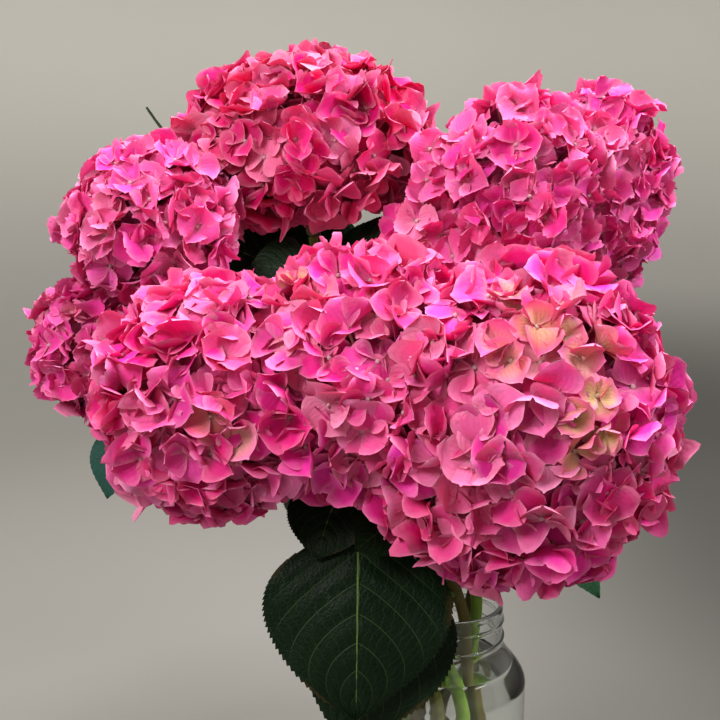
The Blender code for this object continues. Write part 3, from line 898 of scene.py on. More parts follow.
@dataclass
class Flowers:
    """The many small flowers of one head: their sepals and the buds at their middles."""

    head: FlowerHead
    points: np.ndarray
    lean: np.ndarray
    size: np.ndarray
    chance: np.random.Generator
    habit: Habit = Habit()
    facing: np.ndarray = field(init=False)
    young: np.ndarray = field(init=False)
    green: np.ndarray = field(init=False)

    SEPALS: ClassVar[int] = 4
    BASE: ClassVar[float] = 0.0011
    THICK: ClassVar[float] = 0.00032
    OVERLAP: ClassVar[float] = 0.0011
    BUD: ClassVar[float] = 0.0016
    BROAD: ClassVar[float] = 0.52
    POINTED: ClassVar[float] = 0.72
    WIDEST: ClassVar[float] = BROAD / (BROAD + POINTED)
    PEAK: ClassVar[float] = WIDEST**BROAD * (1 - WIDEST) ** POINTED
    EYE_ROSE: ClassVar[Triple] = (0.86, 0.50, 0.60)
    BUD_ROSE: ClassVar[Triple] = (0.86, 0.60, 0.68)
    BUD_GREEN: ClassVar[Triple] = (0.62, 0.64, 0.30)

    def __post_init__(self) -> None:
        """Turns each flower a little from the dome's normal, and marks the young ones."""
        count = len(self.points)
        tilt = self.chance.normal(0, self.habit.tilt, (count, 3))
        self.facing = unit(self.lean + tilt)
        self.young = np.ones(count)
        self.green = np.zeros(count)
        for patch in self.head.patches:
            gap = np.linalg.norm(self.points - np.array(patch.middle), axis=-1)
            inside = 1 - ease(gap, patch.reach * 0.45, patch.reach)
            inside = inside * self.chance.uniform(0.5, 1.0, count) * (self.chance.random(count) < 0.62)
            self.young = np.minimum(self.young, 1 - inside * patch.shrink)
            self.green = np.maximum(self.green, inside * patch.green)

    def sepals(self) -> Surface:
        """Each sepal is a sheet over u, from its base to its tip, and v, from side to side. Its
        midline bends evenly: its slope at u is lift + curl u. Its half width is W u^0.52
        (1 - u)^0.72 over its peak, broad low down and straight to the tip. Over it the sheet is
        raised by a cup v^2, a fold |v|, a ripple sin(k u + phase) v and a finer one in v^2, and
        turned by a twist u about the midline.

        Returns:
            Thin closed shells.
        """
        rows, columns, tooth = self.head.rim.value
        habit, chance, flowers = self.habit, self.chance, len(self.points)
        count = flowers * self.SEPALS
        owner = np.repeat(np.arange(flowers), self.SEPALS)
        rank = np.tile(np.arange(self.SEPALS), flowers)
        spin = chance.uniform(0, 6.28, flowers)[owner]
        angle = spin + rank * (2 * math.pi / self.SEPALS) + chance.normal(*habit.turn, count)
        facing = self.facing[owner]
        first, second = square_pair(facing)
        along = np.cos(angle)[:, None] * first + np.sin(angle)[:, None] * second
        side = np.cross(along, facing)
        size = self.size * self.young * chance.normal(*habit.flower_size, flowers)
        length = self.head.sepal * size[owner] * chance.normal(*habit.sepal_size, count)
        width = length * chance.normal(*habit.width, count)
        closed = (1 - self.young[owner]) * habit.closing
        lift = chance.normal(*habit.flower_lift, flowers)[owner]
        lift = lift + chance.normal(*habit.sepal_lift, count) + closed
        curl = chance.normal(*habit.curl, count)
        curl = np.where(np.abs(curl) < habit.least_curl, habit.least_curl, curl)
        cup = chance.normal(*habit.cup, count) + closed * 0.3
        fold = np.abs(chance.normal(*habit.fold, count))
        ripple = chance.normal(*habit.ripple, count)
        flute = chance.normal(*habit.flute, count)
        phase = chance.uniform(0, 6.28, count)
        twist = chance.normal(*habit.twist, count)

        u = np.linspace(0, 1, rows)[None, :, None]
        v = np.linspace(-1, 1, columns)[None, None, :]
        length, width, lift, curl, cup, fold, ripple, flute, phase, twist = (
            values[:, None, None]
            for values in (length, width, lift, curl, cup, fold, ripple, flute, phase, twist))
        inside = 0.012 + 0.976 * u
        profile = inside**self.BROAD * (1 - inside) ** self.POINTED / self.PEAK
        if tooth:
            saw = np.where(np.arange(rows) % 2 == 0, 1.0, -1.0)[None, :, None]
            profile = profile * (1 + saw * tooth * np.abs(v) ** 4 * ease(u, 0.15, 0.4))
        half = width * profile
        slope = lift + curl * u
        ahead = length * (np.sin(slope) - np.sin(lift)) / curl + self.BASE
        up = length * (np.cos(lift) - np.cos(slope)) / curl
        over = half * (cup * v**2 + fold * np.abs(v) + ripple * np.sin(5.5 * u + phase) * v
                       + flute * np.sin(9.5 * u + phase * 2) * v**2)
        turn = twist * u
        sideways = half * v * np.cos(turn) - over * np.sin(turn)
        above = half * v * np.sin(turn) + over * np.cos(turn)
        ahead = ahead - 0.07 * length * v**2 * u
        ahead, above = ahead - above * np.sin(slope) * 0.6, up + above * np.cos(slope * 0.5)
        step = (rank % 2 * self.OVERLAP)[:, None, None]
        points = (self.points[owner][:, None, None]
                  + along[:, None, None] * ahead[..., None]
                  + side[:, None, None] * sideways[..., None]
                  + facing[:, None, None] * (above + step)[..., None])
        places = np.stack(np.broadcast_arrays((v + 1) / 2, u), axis=-1)
        places = np.broadcast_to(places, (count, rows, columns, 2))
        return shells(points, np.full(count, self.THICK), places, self.colours(owner, u, v), 0.86)

    def colours(self, owner: np.ndarray, u: np.ndarray, v: np.ndarray) -> np.ndarray:
        """Each flower's colour lies between the head's two. Its sepals are paler at their rims
        and lighter at the eye, and young flowers are green, with a rose rim.

        Args:
            owner: the flower that each sepal belongs to.
            u, v: the grid's parameters.

        Returns:
            Colours, (sepals, rows, columns, 3).
        """
        habit, chance, flowers = self.habit, self.chance, len(self.size)
        share = np.clip(chance.normal(*habit.cool, flowers), 0, 1)[owner]
        base = blend(self.head.tone.warm, self.head.tone.cool, share[:, None])
        worth = chance.normal(*habit.flower_worth, flowers)[owner]
        worth = worth * chance.normal(*habit.sepal_worth, len(owner))
        base = base * worth[:, None]
        pale = np.clip(chance.normal(*habit.pale, flowers), 0, habit.palest)[owner]
        base = blend(base, PALE_ROSE, pale[:, None])
        base = base[:, None, None, :]
        green = self.green[owner][:, None, None, None]
        rim = (ease(np.abs(v), 0.55, 1.0) * 0.5 + ease(u, 0.72, 1.0) * 0.5)[..., None]
        eye = (1 - ease(u, 0.0, 0.22))[..., None]
        coloured = blend(base, PALE_ROSE, rim**1.2 * 0.80)
        coloured = blend(coloured, self.EYE_ROSE, eye * 0.45)
        inner = green * (1 - ease(rim, 0.02, 0.45) * 0.85) * (1 - 0.75 * ease(u, 0.25, 0.95)[..., None])
        return np.clip(blend(coloured, FRESH_GREEN, np.clip(inner * 1.2, 0, 1)), 0, 1)

    def buds(self) -> Surface:
        """A small round bead at each flower's middle: an ellipsoid of rings, closed at its ends.

        Returns:
            The surface of all the beads.
        """
        rings = np.linspace(-0.9, 0.9, 5)
        size = self.BUD * self.size * (0.55 + 0.45 * self.young)
        paths = (self.points[:, None] + self.facing[:, None]
                 * (self.BUD * 0.7 + rings[None, :, None] * size[:, None, None]))
        radii = size[:, None] * np.sqrt(1 - rings**2)[None]
        pale = blend(self.BUD_ROSE, self.BUD_GREEN, self.green[:, None])
        tint = np.broadcast_to(pale[:, None], (len(paths), 5, 3))
        return tubes(paths, radii, 6, tint)


@dataclass(frozen=True)
class HangingSepal:
    """A long narrow sepal, folded along its middle, that hangs below the top head."""

    top: Triple = (-0.114, 0.062, 0.520)
    bottom: Triple = (-0.119, 0.052, 0.477)
    face: Triple = (0.75, -0.65, 0.10)
    width: float = 0.0075
    fold: float = 0.9
    tint: Triple = (0.92, 0.16, 0.42)

    def build(self, petal: bpy.types.Material) -> None:
        """The half width is w (sin pi (0.06 + 0.9 u))^0.8, raised by fold |v| on each side, and
        the midline sways by 1.5 mm sin 2 pi u.

        Args:
            petal: the flowers' finish.
        """
        u, v = np.linspace(0, 1, 16)[:, None], np.linspace(-1, 1, 7)[None, :]
        top, bottom = np.array(self.top), np.array(self.bottom)
        along = unit(bottom - top)
        side = unit(np.cross(along, np.array(self.face)))
        up = np.cross(side, along)
        half = self.width / 2 * np.sin(math.pi * (0.06 + 0.9 * u)) ** 0.8
        sway = 0.0015 * np.sin(2 * math.pi * u)
        points = (top + (bottom - top) * u[..., None] + side * (half * v + sway)[..., None]
                  + up * (half * np.abs(v) * self.fold)[..., None])
        places = np.stack(np.broadcast_arrays((v + 1) / 2, u), axis=-1)
        tint = blend(self.tint, PALE_ROSE, (np.abs(v) ** 2 * 0.6 + 0 * u)[..., None])
        shell = shells(points[None], 0.0004, places[None], tint[None], 0.9)
        shell.as_piece("sepal_hanging", petal, Tone.MAGENTA.slot)


# --------------------------------------------------------------------------- stems

class Bark(Enum):
    """A stem's skin: the finish's name, the skin's colour and that of its streaks."""

    GREEN = ("bark_green", (0.17, 0.31, 0.025), (0.28, 0.42, 0.06))
    OLIVE = ("bark_olive", (0.13, 0.125, 0.022), (0.15, 0.085, 0.028))

    def __init__(self, finish: str, tint: Triple, streak: Triple) -> None:
        """Names the parts of the value."""
        self.finish, self.tint, self.streak = finish, tint, streak


@dataclass(frozen=True)
class Stem:
    """One cut stem: straight from its foot to the jar's neck, then a bend up to its rays."""

    head: FlowerHead
    bark: Bark

    RADIUS: ClassVar[float] = 0.0044
    RING: ClassVar[float] = 0.022
    RING_Z: ClassVar[float] = 0.213
    FIRST: ClassVar[float] = math.radians(-55)
    TWIST: ClassVar[float] = math.radians(95)
    SPREAD: ClassVar[float] = 0.037
    FOOT_Z: ClassVar[float] = 0.012
    FOOT_STEP: ClassVar[float] = 0.006
    PULL: ClassVar[float] = 0.38
    GAP: ClassVar[float] = 0.0003
    JOINTS: ClassVar[float] = 0.062
    KNEE: ClassVar[float] = 0.004
    KNEE_TINT: ClassVar[Triple] = (0.62, 0.60, 0.66)

    def path(self) -> np.ndarray:
        """The middle line, on the route of the CAD stem.

        Returns:
            Points, (count, 3).
        """
        angle = self.FIRST + 2 * math.pi / 8 * self.head.slot
        low = angle + self.TWIST
        ring = np.array([self.RING * math.cos(angle), self.RING * math.sin(angle), self.RING_Z])
        foot = np.array([self.SPREAD * math.cos(low), self.SPREAD * math.sin(low),
                         self.FOOT_Z + self.FOOT_STEP * (self.head.slot % 3)])
        end = self.head.hub - self.head.facing * (FlowerHead.KNOT + self.GAP)
        straight = foot + (ring - foot) * np.linspace(0, 1, 30)[:-1, None]
        bend = cubic(ring, ring - foot, end, self.head.facing, self.PULL, 40)
        return np.concatenate([straight, bend])

    def at(self, height: float) -> tuple[np.ndarray, np.ndarray]:
        """The middle line's point at a height, and its direction there."""
        path = self.path()
        spot = int(np.clip(np.searchsorted(path[:, 2], height), 1, len(path) - 1))
        low, high = path[spot - 1], path[spot]
        return blend(low, high, (height - low[2]) / (high[2] - low[2])), unit(high - low)

    def build(self, skin: bpy.types.Material) -> None:
        """Carries a circle along the path. It swells a little at each joint, where leaves grew,
        and has low ribs: r (0.93 + 0.14 exp(-(s / 4 mm)^2)) (1 + 0.025 cos 6a).

        Args:
            skin: the stem's finish.
        """
        path = self.path()
        run = np.concatenate([[0], np.cumsum(np.linalg.norm(np.diff(path, axis=0), axis=1))])
        offset = 0.011 * (self.head.slot + 1)
        gap = (run + offset + self.JOINTS / 2) % self.JOINTS - self.JOINTS / 2
        knee = np.exp(-((gap / self.KNEE) ** 2))
        taper = blend(1.0, 0.84, ease(path[:, 2], 0.2, 0.45))
        radius = self.RADIUS * taper * (0.93 + 0.14 * knee)
        tint = np.array(self.bark.tint)
        tint = blend(tint, tint * self.KNEE_TINT, knee[:, None] * 0.8)
        surface = tubes(path[None], radius[None], 18, tint[None],
                        lambda angle, ring: 1 + 0.025 * np.cos(6 * angle) + 0 * ring)
        surface.as_piece("stem_skin_" + self.head.name, skin, "stem", ["stem_" + self.head.name])


# --------------------------------------------------------------------------- leaves

@dataclass(frozen=True)
class Leaf:
    """A leaf: a stalk off a stem, and a toothed blade that arches from its base to its tip."""

    name: str
    stem: str
    height: float
    base: Triple
    tip: Triple
    face: Triple
    width: float
    arch: float
    fold: float
    tint: Triple = (0.0022, 0.0105, 0.0028)
    teeth: int = 26

    ROUND: ClassVar[float] = 0.52
    POINT: ClassVar[float] = 0.98
    STALK: ClassVar[float] = 0.0018
    STALK_END: ClassVar[float] = 0.16
    PAIRS: ClassVar[float] = 6.5
    BEND: ClassVar[float] = 0.46
    THICK: ClassVar[float] = 0.0006
    TOOTH: ClassVar[float] = 0.024
    PUFF: ClassVar[float] = 0.0011
    RIB: ClassVar[float] = 0.0010
    WAVE: ClassVar[float] = 0.0028
    WORN: ClassVar[Triple] = (0.16, 0.09, 0.035)
    STALK_GREEN: ClassVar[Triple] = (0.13, 0.21, 0.05)

    def midrib(self, t: np.ndarray) -> np.ndarray:
        """Points on the midrib: straight from base to tip, raised by 4 arch t (1 - t)."""
        base, tip = np.array(self.base), np.array(self.tip)
        t = np.asarray(t, dtype=float)[..., None]
        return base + (tip - base) * t + unit(np.array(self.face)) * (4 * self.arch * t * (1 - t))

    def blade(self) -> Surface:
        """The half width is w t^0.52 (1 - t)^0.98 over its peak, and saw teeth that point to the
        tip push its margin out. The sheet sinks along the veins, puffs between them, and waves.

        Returns:
            A thin closed shell.
        """
        rows, columns = self.teeth * 3 + 1, 25
        t = np.linspace(0, 1, rows)[:, None]
        x = np.linspace(-1, 1, columns)[None, :]
        safe = np.clip(t, 0.0025, 0.9975)
        widest = self.ROUND / (self.ROUND + self.POINT)
        peak = widest**self.ROUND * (1 - widest) ** self.POINT
        half = self.width / 2 * safe**self.ROUND * (1 - safe) ** self.POINT / peak
        saw = ((np.arange(rows) % 3) / 2.0)[:, None]
        half = half * (1 + self.TOOTH * (saw - 0.5) * np.abs(x) ** 6)
        lean = np.where(np.abs(x) > 0.95, 0.0012 * self.width / 0.1 * saw, 0.0)
        rise = t - np.abs(x) ** 1.3 * self.BEND
        line = np.abs((rise * self.PAIRS) % 1.0 - 0.5)
        scale = self.width / 0.12
        puff = scale * self.PUFF * (ease(line, 0.0, 0.42) - 0.6) * ease(1 - np.abs(x), 0.0, 0.25)
        rib = -scale * self.RIB * np.exp(-((x / 0.05) ** 2))
        wave = scale * self.WAVE * np.sin(9.5 * t + 1.3 * np.sign(x) + self.height * 40) * x**2
        along = unit(np.array(self.tip) - np.array(self.base))
        side = unit(np.cross(along, np.array(self.face)))
        up = unit(np.cross(side, along))
        reach = x * half
        height = np.abs(reach) * self.fold + puff + rib + wave
        points = (self.midrib(t[:, 0])[:, None] + side * reach[..., None]
                  + up * height[..., None] + along * lean[..., None])
        places = np.stack(np.broadcast_arrays((x + 1) / 2, t), axis=-1)
        worn = (np.abs(x) > 0.95) * ease(np.sin(t * 9 + self.height * 90 + x), 0.6, 1.0) * 0.30
        tint = blend(self.tint, self.WORN, worn[..., None])
        return shells(points[None], self.THICK, places[None], tint[None], 1.9)

    def stalk(self, stem: Stem) -> Surface:
        """A tube from the stem's skin to a sixth of the way along the midrib.

        Args:
            stem: the stem that it grows on.

        Returns:
            The stalk's surface.
        """
        centre, grain = stem.at(self.height)
        base, inner = np.array(self.base), self.midrib(self.STALK_END)
        out = base - centre
        out = unit(out - grain * (out @ grain))
        root = centre + out * Stem.RADIUS * 0.7
        path = cubic(root, out + grain * 0.5, base, inner - base, 0.35, 14)
        tail = self.midrib(np.linspace(0, 0.97, 30)[1:]) - unit(np.array(self.face)) * 0.0011
        path = np.concatenate([path, tail])
        radius = np.concatenate([np.linspace(1.25, 0.8, 15), np.linspace(0.52, 0.12, 29)])
        radius = radius * self.STALK * min(1.0, 0.55 + self.width * 4)
        tint = np.broadcast_to(self.STALK_GREEN, path.shape)
        return tubes(path[None], radius[None], 8, tint[None])

    def build(self, stem: Stem, finish: bpy.types.Material) -> None:
        """Makes the leaf's piece.

        Args:
            stem: the stem that it grows on.
            finish: the leaf's finish.
        """
        both = Surface.joined([self.blade(), self.stalk(stem)])
        both.as_piece(self.name.replace("leaf_", "blade_"), finish, "leaf", [self.name])


# --------------------------------------------------------------------------- jar and water

@dataclass(frozen=True)
class Jar:
    """The screw-neck jar, and the water in it."""

    height: float = 0.227
    radius: float = 0.0585
    wall: float = 0.003
    floor: float = 0.005
    shoulder_z: float = 0.160
    neck_z: float = 0.197
    neck: float = 0.0413
    heel: float = 0.009
    lip: float = 0.0014
    bead_z: float = 0.2015
    bead: float = 0.0014
    thread_top: float = 0.2205
    pitch: float = 0.0065
    turns: float = 1.6
    thread: float = 0.0011
    water_z: float = 0.182
    steps: int = 144

    def shoulder(self, top: float, bottom: float) -> np.ndarray:
        """Down an S-shaped shoulder: r goes by (1 - cos pi t) / 2 + 0.18 sin pi t against z."""
        t = np.linspace(0, 1, 30)
        share = np.minimum(1.0, (1 - np.cos(math.pi * t)) / 2 + 0.18 * np.sin(math.pi * t))
        return np.stack([top + (bottom - top) * share,
                         self.neck_z + (self.shoulder_z - self.neck_z) * t], axis=-1)

    @staticmethod
    def arc(r: float, z: float, size: float, start: float, end: float, steps: int) -> np.ndarray:
        """Points (r, z) on an arc, its angles in degrees."""
        angle = np.radians(np.linspace(start, end, steps + 1))
        return np.stack([r + size * np.cos(angle), z + size * np.sin(angle)], axis=-1)

    def inner(self) -> np.ndarray:
        """The inside, from the middle of the floor up to the neck."""
        heel, side = self.heel - self.wall, self.radius - self.wall
        return np.concatenate([
            [[0.0, self.floor]], np.stack([np.linspace(0.3, 0.97, 5) * (side - heel),
                                           np.full(5, self.floor)], axis=-1),
            self.arc(side - heel, self.floor + heel, heel, -88, 0, 10),
            self.shoulder(self.neck - self.wall, side)[::-1]])

    def outer(self) -> np.ndarray:
        """The outside, from the lip down to the middle of the underside."""
        mouth = self.neck - self.wall
        return np.concatenate([
            [[mouth, self.height - 4 * self.lip]],
            self.arc(mouth + self.lip, self.height - self.lip, self.lip, 180, 0, 10),
            [[self.neck - 0.0004, self.height - 2.4 * self.lip]],
            np.stack([np.full(44, self.neck),
                      np.linspace(self.thread_top + 0.002, self.bead_z + 1.3 * self.bead, 44)], axis=-1),
            self.arc(self.neck, self.bead_z, self.bead, 80, -80, 8),
            self.shoulder(self.neck, self.radius),
            np.stack([np.full(8, self.radius), np.linspace(self.shoulder_z - 0.006, 0.02, 8)], axis=-1),
            self.arc(self.radius - self.heel, self.heel, self.heel, 0, -88, 10),
            np.array([[0.030, 0.0008], [0.0, 0.0016]])])

    def ridge(self, z: np.ndarray, angle: np.ndarray) -> np.ndarray:
        """The thread: a rounded ridge along a helix, exp(-(dz / 0.9 mm)^2), for its turns."""
        total = np.zeros(np.broadcast(z, angle).shape)
        for lap in range(2):
            share = (angle / (2 * math.pi) + lap) / self.turns
            middle = self.thread_top - self.pitch * self.turns * share
            ends = ease(share, 0.0, 0.04) * (1 - ease(share, 0.96, 1.0))
            total = total + np.exp(-(((z - middle) / 0.0009) ** 2)) * ends
        outside = ease(z, self.bead_z + self.bead, self.bead_z + 2 * self.bead)
        return total * self.thread * outside

    def build(self, glass: bpy.types.Material, water: bpy.types.Material) -> None:
        """Makes the glass and the water. The water reaches a hair into the glass.

        Args:
            glass: the jar's finish.
            water: the water's finish.
        """
        inner, outer = self.inner(), self.outer()
        profile = np.concatenate([inner, outer])
        split = len(inner) + 1

        def swell(z: np.ndarray, angle: np.ndarray) -> np.ndarray:
            """The thread, on the outside only."""
            outside = (np.arange(len(profile) - 2) >= split)[:, None]
            return self.ridge(z, angle) * outside

        turned(profile, self.steps, swell).as_piece("jar_glass", glass, "glass", ["glass_jar"])
        side = inner[inner[:, 1] < self.water_z]
        edge = np.interp(self.water_z, inner[-30:, 1], inner[-30:, 0])
        grown = np.stack([side[1:, 0] + 0.0003, side[1:, 1] - 0.0002], axis=-1)
        rise = np.array([[edge + 0.0003, self.water_z + 0.0009], [edge - 0.0010, self.water_z + 0.0003],
                         [edge - 0.0030, self.water_z], [edge * 0.5, self.water_z], [0.0, self.water_z]])
        outline = np.concatenate([[[0.0, side[0, 1] - 0.0002]], grown, rise])[::-1]
        turned(outline, self.steps).as_piece("water_fill", water, "water", ["water"])


# --------------------------------------------------------------------------- studio

@dataclass(frozen=True)
class Lamp:
    """A soft square lamp, its place, what it looks at, its size, its power and its colour."""

    name: str
    place: Triple
    target: Triple
    size: float
    power: float
    colour: Triple

    def build(self) -> None:
        """Makes the lamp, which the camera does not see."""
        data = bpy.data.lights.new(self.name, "AREA")
        data.shape, data.size, data.energy, data.color = "SQUARE", self.size, self.power, self.colour
        lamp = bpy.data.objects.new(self.name, data)
        lamp.location = self.place
        way = Vector(self.target) - Vector(self.place)
        lamp.rotation_euler = way.to_track_quat("-Z", "Y").to_euler()
        lamp.visible_camera = False
        bpy.context.scene.collection.objects.link(lamp)


@dataclass(frozen=True)
class Studio:
    """A pale floor that sweeps up all round, soft lamps, and the camera."""

    radius: float = 2.5
    sweep: float = 1.1
    height: float = 2.6
    lamps: tuple[Lamp, ...] = (
        Lamp("key", (-1.25, -1.35, 1.95), (-0.05, 0.0, 0.42), 1.0, 50.0, (1.0, 0.97, 0.96)),
        Lamp("top", (0.1, 0.15, 2.1), (-0.02, 0.05, 0.4), 0.9, 60.0, (1.0, 0.98, 0.98)),
        Lamp("side", (0.92, -0.38, 1.33), (0.03, 0.0, 0.40), 0.40, 13.0, (0.97, 0.98, 1.0)),
    )

    def build(self) -> None:
        """A disc, a quarter round and a wall, turned about Z; then the world, lamps and camera."""
        bend = Jar.arc(self.radius - self.sweep, self.sweep, self.sweep, -90, 0, 20)
        floor = np.stack([np.linspace(0.05, self.radius - self.sweep, 12)[:-1], np.zeros(11)], axis=-1)
        profile = np.concatenate([[[0.0, 0.0]], floor, bend, [[self.radius, self.height]]])
        steps = 96
        angle = np.arange(steps) * (2 * math.pi / steps)
        ring = profile[1:]
        skin = np.stack([ring[:, :1] * np.cos(angle), ring[:, :1] * np.sin(angle),
                         ring[:, 1:] + np.zeros(steps)], axis=-1).reshape(-1, 3)
        number = np.arange(len(ring) * steps).reshape(len(ring), steps)
        ahead = np.roll(number, -1, axis=1)
        quads = np.stack([number[:-1], number[1:], ahead[1:], ahead[:-1]], axis=-1).reshape(-1, 4)
        centre = np.stack([np.full(steps, len(skin)), number[0], ahead[0]], axis=-1)
        mesh = bpy.data.meshes.new("backdrop")
        points = np.concatenate([skin, [[0.0, 0.0, 0.0]]])
        mesh.from_pydata(points.tolist(), [], quads.tolist() + centre.tolist())
        mesh.update()
        mesh.polygons.foreach_set("use_smooth", np.ones(len(mesh.polygons), dtype=bool))
        mesh.materials.append(BackdropFinish().build())
        backdrop = bpy.data.objects.new("backdrop", mesh)
        bpy.context.scene.collection.objects.link(backdrop)
        for lamp in self.lamps:
            lamp.build()
        self.world()
        self.camera()

    @staticmethod
    def world() -> None:
        """An even pale sky."""
        world = bpy.data.worlds.new("sky")
        world.use_nodes = True
        shade = world.node_tree.nodes["Background"]
        shade.inputs["Color"].default_value = (1.0, 0.98, 0.96, 1.0)
        shade.inputs["Strength"].default_value = 0.27
        bpy.context.scene.world = world
        bpy.context.scene.view_settings.view_transform = "Standard"

    @staticmethod
    def camera() -> None:
        """A 50 mm lens, level with the heads and tipped a little down."""
        data = bpy.data.cameras.new("camera")
        data.lens, data.sensor_width = 50.0, 36.0
        data.clip_start, data.clip_end = 0.01, 20.0
        camera = bpy.data.objects.new("camera", data)
        camera.location = (-0.061, -0.671, 0.531)
        camera.rotation_euler = (math.radians(79.0), 0.0, 0.0)
        bpy.context.scene.collection.objects.link(camera)
        bpy.context.scene.camera = camera


# --------------------------------------------------------------------------- the bunch

HEADS = (
    FlowerHead("middle_front", 0, (-0.056, -0.052, 0.403), 0.083, 0.081, (-0.10, -0.50, 0.85), 0.069,
               Tone.ROSE, Rim.SMOOTH, 0.0210, 0.0194,
               (Patch((-0.110, -0.085, 0.453), 0.030, 0.70, 0.35),)),
    FlowerHead("right_front", 1, (0.033, -0.072, 0.375), 0.100, 0.105, (0.20, -0.50, 0.80), 0.084,
               Tone.ROSE, Rim.SMOOTH, 0.0210, 0.0194,
               (Patch((0.030, -0.140, 0.452), 0.042, 0.50, 0.28),
                Patch((0.062, -0.165, 0.398), 0.028, 0.95, 0.45),
                Patch((0.062, -0.147, 0.442), 0.035, 0.60, 0.25))),
    FlowerHead("right_back", 2, (0.114, 0.118, 0.504), 0.066, 0.094, (0.25, 0.10, 0.95), 0.078,
               Tone.PINK, Rim.TOOTHED, 0.0190, 0.0158),
    FlowerHead("right_high", 3, (0.052, 0.056, 0.513), 0.063, 0.072, (0.05, -0.10, 1.00), 0.063,
               Tone.PINK, Rim.TOOTHED, 0.0200, 0.0168,
               (Patch((0.072, 0.010, 0.560), 0.025, 0.12, 0.25),
                Patch((-0.019, 0.032, 0.470), 0.016, 0.90, 0.60)),
               ((-0.021, 0.036, 0.492), (-0.030, 0.046, 0.476), (-0.004, 0.036, 0.484),
                (0.004, 0.030, 0.468), (-0.019, 0.032, 0.472), (-0.012, 0.045, 0.542),
                (-0.014, 0.042, 0.521), (-0.016, 0.045, 0.505), (-0.033, 0.052, 0.491))),
    FlowerHead("top", 4, (-0.104, 0.120, 0.546), 0.098, 0.070, (-0.08, -0.12, 1.00), 0.066,
               Tone.MAGENTA, Rim.SMOOTH, 0.0212, 0.0187),
    FlowerHead("left_high", 5, (-0.208, 0.045, 0.489), 0.065, 0.060, (-0.45, -0.15, 0.88), 0.056,
               Tone.PINK, Rim.TOOTHED, 0.0195, 0.0162,
               (Patch((-0.241, -0.004, 0.463), 0.032, 0.20, 0.38),)),
    FlowerHead("left_low", 6, (-0.250, 0.050, 0.402), 0.054, 0.052, (-0.80, -0.20, 0.60), 0.050,
               Tone.PINK, Rim.TOOTHED, 0.0190, 0.0155,
               (Patch((-0.266, 0.006, 0.427), 0.028, 0.22, 0.38),)),
    FlowerHead("left_front", 7, (-0.148, -0.040, 0.385), 0.083, 0.081, (-0.45, -0.40, 0.80), 0.071,
               Tone.ROSE, Rim.SMOOTH, 0.0210, 0.0194,
               (Patch((-0.137, -0.120, 0.374), 0.028, 0.65, 0.30),)),
)

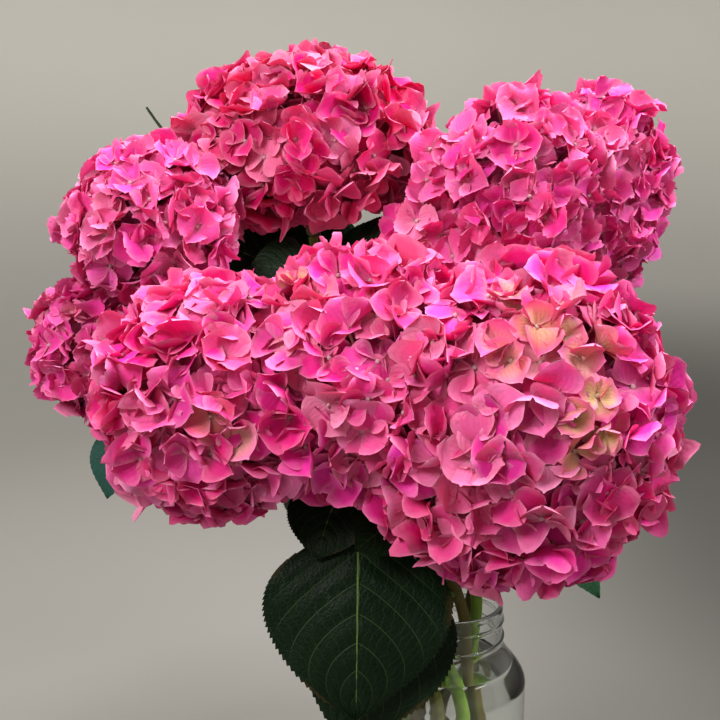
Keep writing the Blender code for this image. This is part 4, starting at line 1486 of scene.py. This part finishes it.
LEAVES = (
    Leaf("leaf_front_large", "middle_front", 0.272, (-0.062, -0.053, 0.294), (-0.0636, -0.082, 0.180),
         (0.0, -1.0, 0.05), 0.122, 0.014, -0.10, teeth=34),
    Leaf("leaf_front_behind", "middle_front", 0.240, (-0.039, -0.048, 0.270), (-0.0700, -0.0715, 0.155),
         (-0.12, -1.0, -0.10), 0.108, 0.006, -0.06, teeth=32),
    Leaf("leaf_front_upper", "middle_front", 0.290, (-0.072, -0.024, 0.320), (-0.0885, -0.064, 0.282),
         (-0.3, -0.8, 0.55), 0.066, 0.006, -0.10),
    Leaf("leaf_front_small", "right_front", 0.268, (-0.040, -0.058, 0.305), (-0.0640, -0.088, 0.298),
         (0.3, -0.7, 0.70), 0.036, 0.003, -0.10),
    Leaf("leaf_left_low", "left_low", 0.345, (-0.232, 0.022, 0.345), (-0.2420, 0.012, 0.297),
         (-0.3, -0.9, 0.30), 0.040, 0.004, -0.10, (0.020, 0.075, 0.060), 14),
    Leaf("leaf_right_low", "right_front", 0.280, (0.070, 0.012, 0.290), (0.1075, -0.012, 0.232),
         (0.5, -0.8, 0.30), 0.044, 0.005, -0.10, (0.020, 0.080, 0.035), 16),
    Leaf("leaf_top_left", "left_high", 0.410, (-0.190, 0.126, 0.500), (-0.2320, 0.153, 0.577),
         (0.85, 0.10, 0.45), 0.040, 0.006, -0.15),
    Leaf("leaf_gap_right", "top", 0.385, (-0.062, 0.060, 0.458), (-0.0120, 0.052, 0.484),
         (-0.2, -0.85, 0.45), 0.060, 0.005, -0.12),
    Leaf("leaf_gap_left", "top", 0.400, (-0.096, 0.062, 0.450), (-0.1380, 0.040, 0.462),
         (0.0, -0.85, 0.50), 0.056, 0.005, -0.12),
    Leaf("leaf_under_right", "top", 0.400, (-0.085, 0.160, 0.444), (0.0360, 0.160, 0.462),
         (0.1, -0.95, 0.30), 0.078, 0.005, -0.12),
    Leaf("leaf_under_left", "top", 0.380, (-0.112, 0.160, 0.440), (-0.1920, 0.160, 0.474),
         (0.0, -0.95, 0.30), 0.074, 0.005, -0.12),
    Leaf("leaf_under_middle", "top", 0.440, (-0.100, 0.196, 0.494), (-0.1000, 0.192, 0.425),
         (0.0, -1.0, 0.10), 0.074, 0.004, -0.10),
    Leaf("leaf_back_top", "top", 0.350, (-0.045, 0.135, 0.380), (-0.0600, 0.225, 0.345),
         (-0.1, 0.5, 0.85), 0.080, 0.010, -0.12),
    Leaf("leaf_back_right", "right_back", 0.345, (0.080, 0.084, 0.362), (0.1400, 0.155, 0.322),
         (0.3, 0.5, 0.80), 0.076, 0.010, -0.12),
    Leaf("leaf_back_low", "right_high", 0.290, (0.028, 0.078, 0.305), (0.0350, 0.145, 0.248),
         (0.0, 0.7, 0.70), 0.080, 0.012, -0.12),
    Leaf("leaf_left_back", "left_high", 0.280, (-0.068, 0.074, 0.290), (-0.1120, 0.136, 0.238),
         (-0.4, 0.6, 0.65), 0.074, 0.010, -0.12),
    Leaf("leaf_left_far", "left_low", 0.325, (-0.165, 0.098, 0.335), (-0.2200, 0.150, 0.318),
         (-0.4, 0.3, 0.85), 0.058, 0.008, -0.12),
)


def main() -> None:
    """Builds the studio, the heads, the stems, the leaves and the jar, in that order."""
    logging.basicConfig(level=logging.INFO, format="%(name)s %(message)s", stream=sys.stdout)
    Studio().build()
    petals = {tone: PetalFinish(tone.slot, tone.through).build() for tone in Tone}
    ray = BarkFinish("ray", (0.30, 0.13, 0.09), 0.47).build()
    for head in HEADS:
        head.build(HEADS, petals[head.tone], ray)
    HangingSepal().build(petals[Tone.MAGENTA])
    barks = {bark: BarkFinish(bark.finish, bark.streak).build() for bark in Bark}
    stems = {}
    for head in HEADS:
        stem = Stem(head, Bark.GREEN if head.slot % 3 == 1 else Bark.OLIVE)
        stem.build(barks[stem.bark])
        stems[head.name] = stem
    leaf_finish = LeafFinish(Leaf.PAIRS, Leaf.BEND).build()
    for leaf in LEAVES:
        leaf.build(stems[leaf.stem], leaf_finish)
    Jar().build(ClearFinish("glass", (0.97, 0.985, 0.98), 1.5, 0.10).build(),
                ClearFinish("water", (0.97, 0.985, 0.975), 1.33, 0.0).build())


if __name__ == "__main__":
    main()
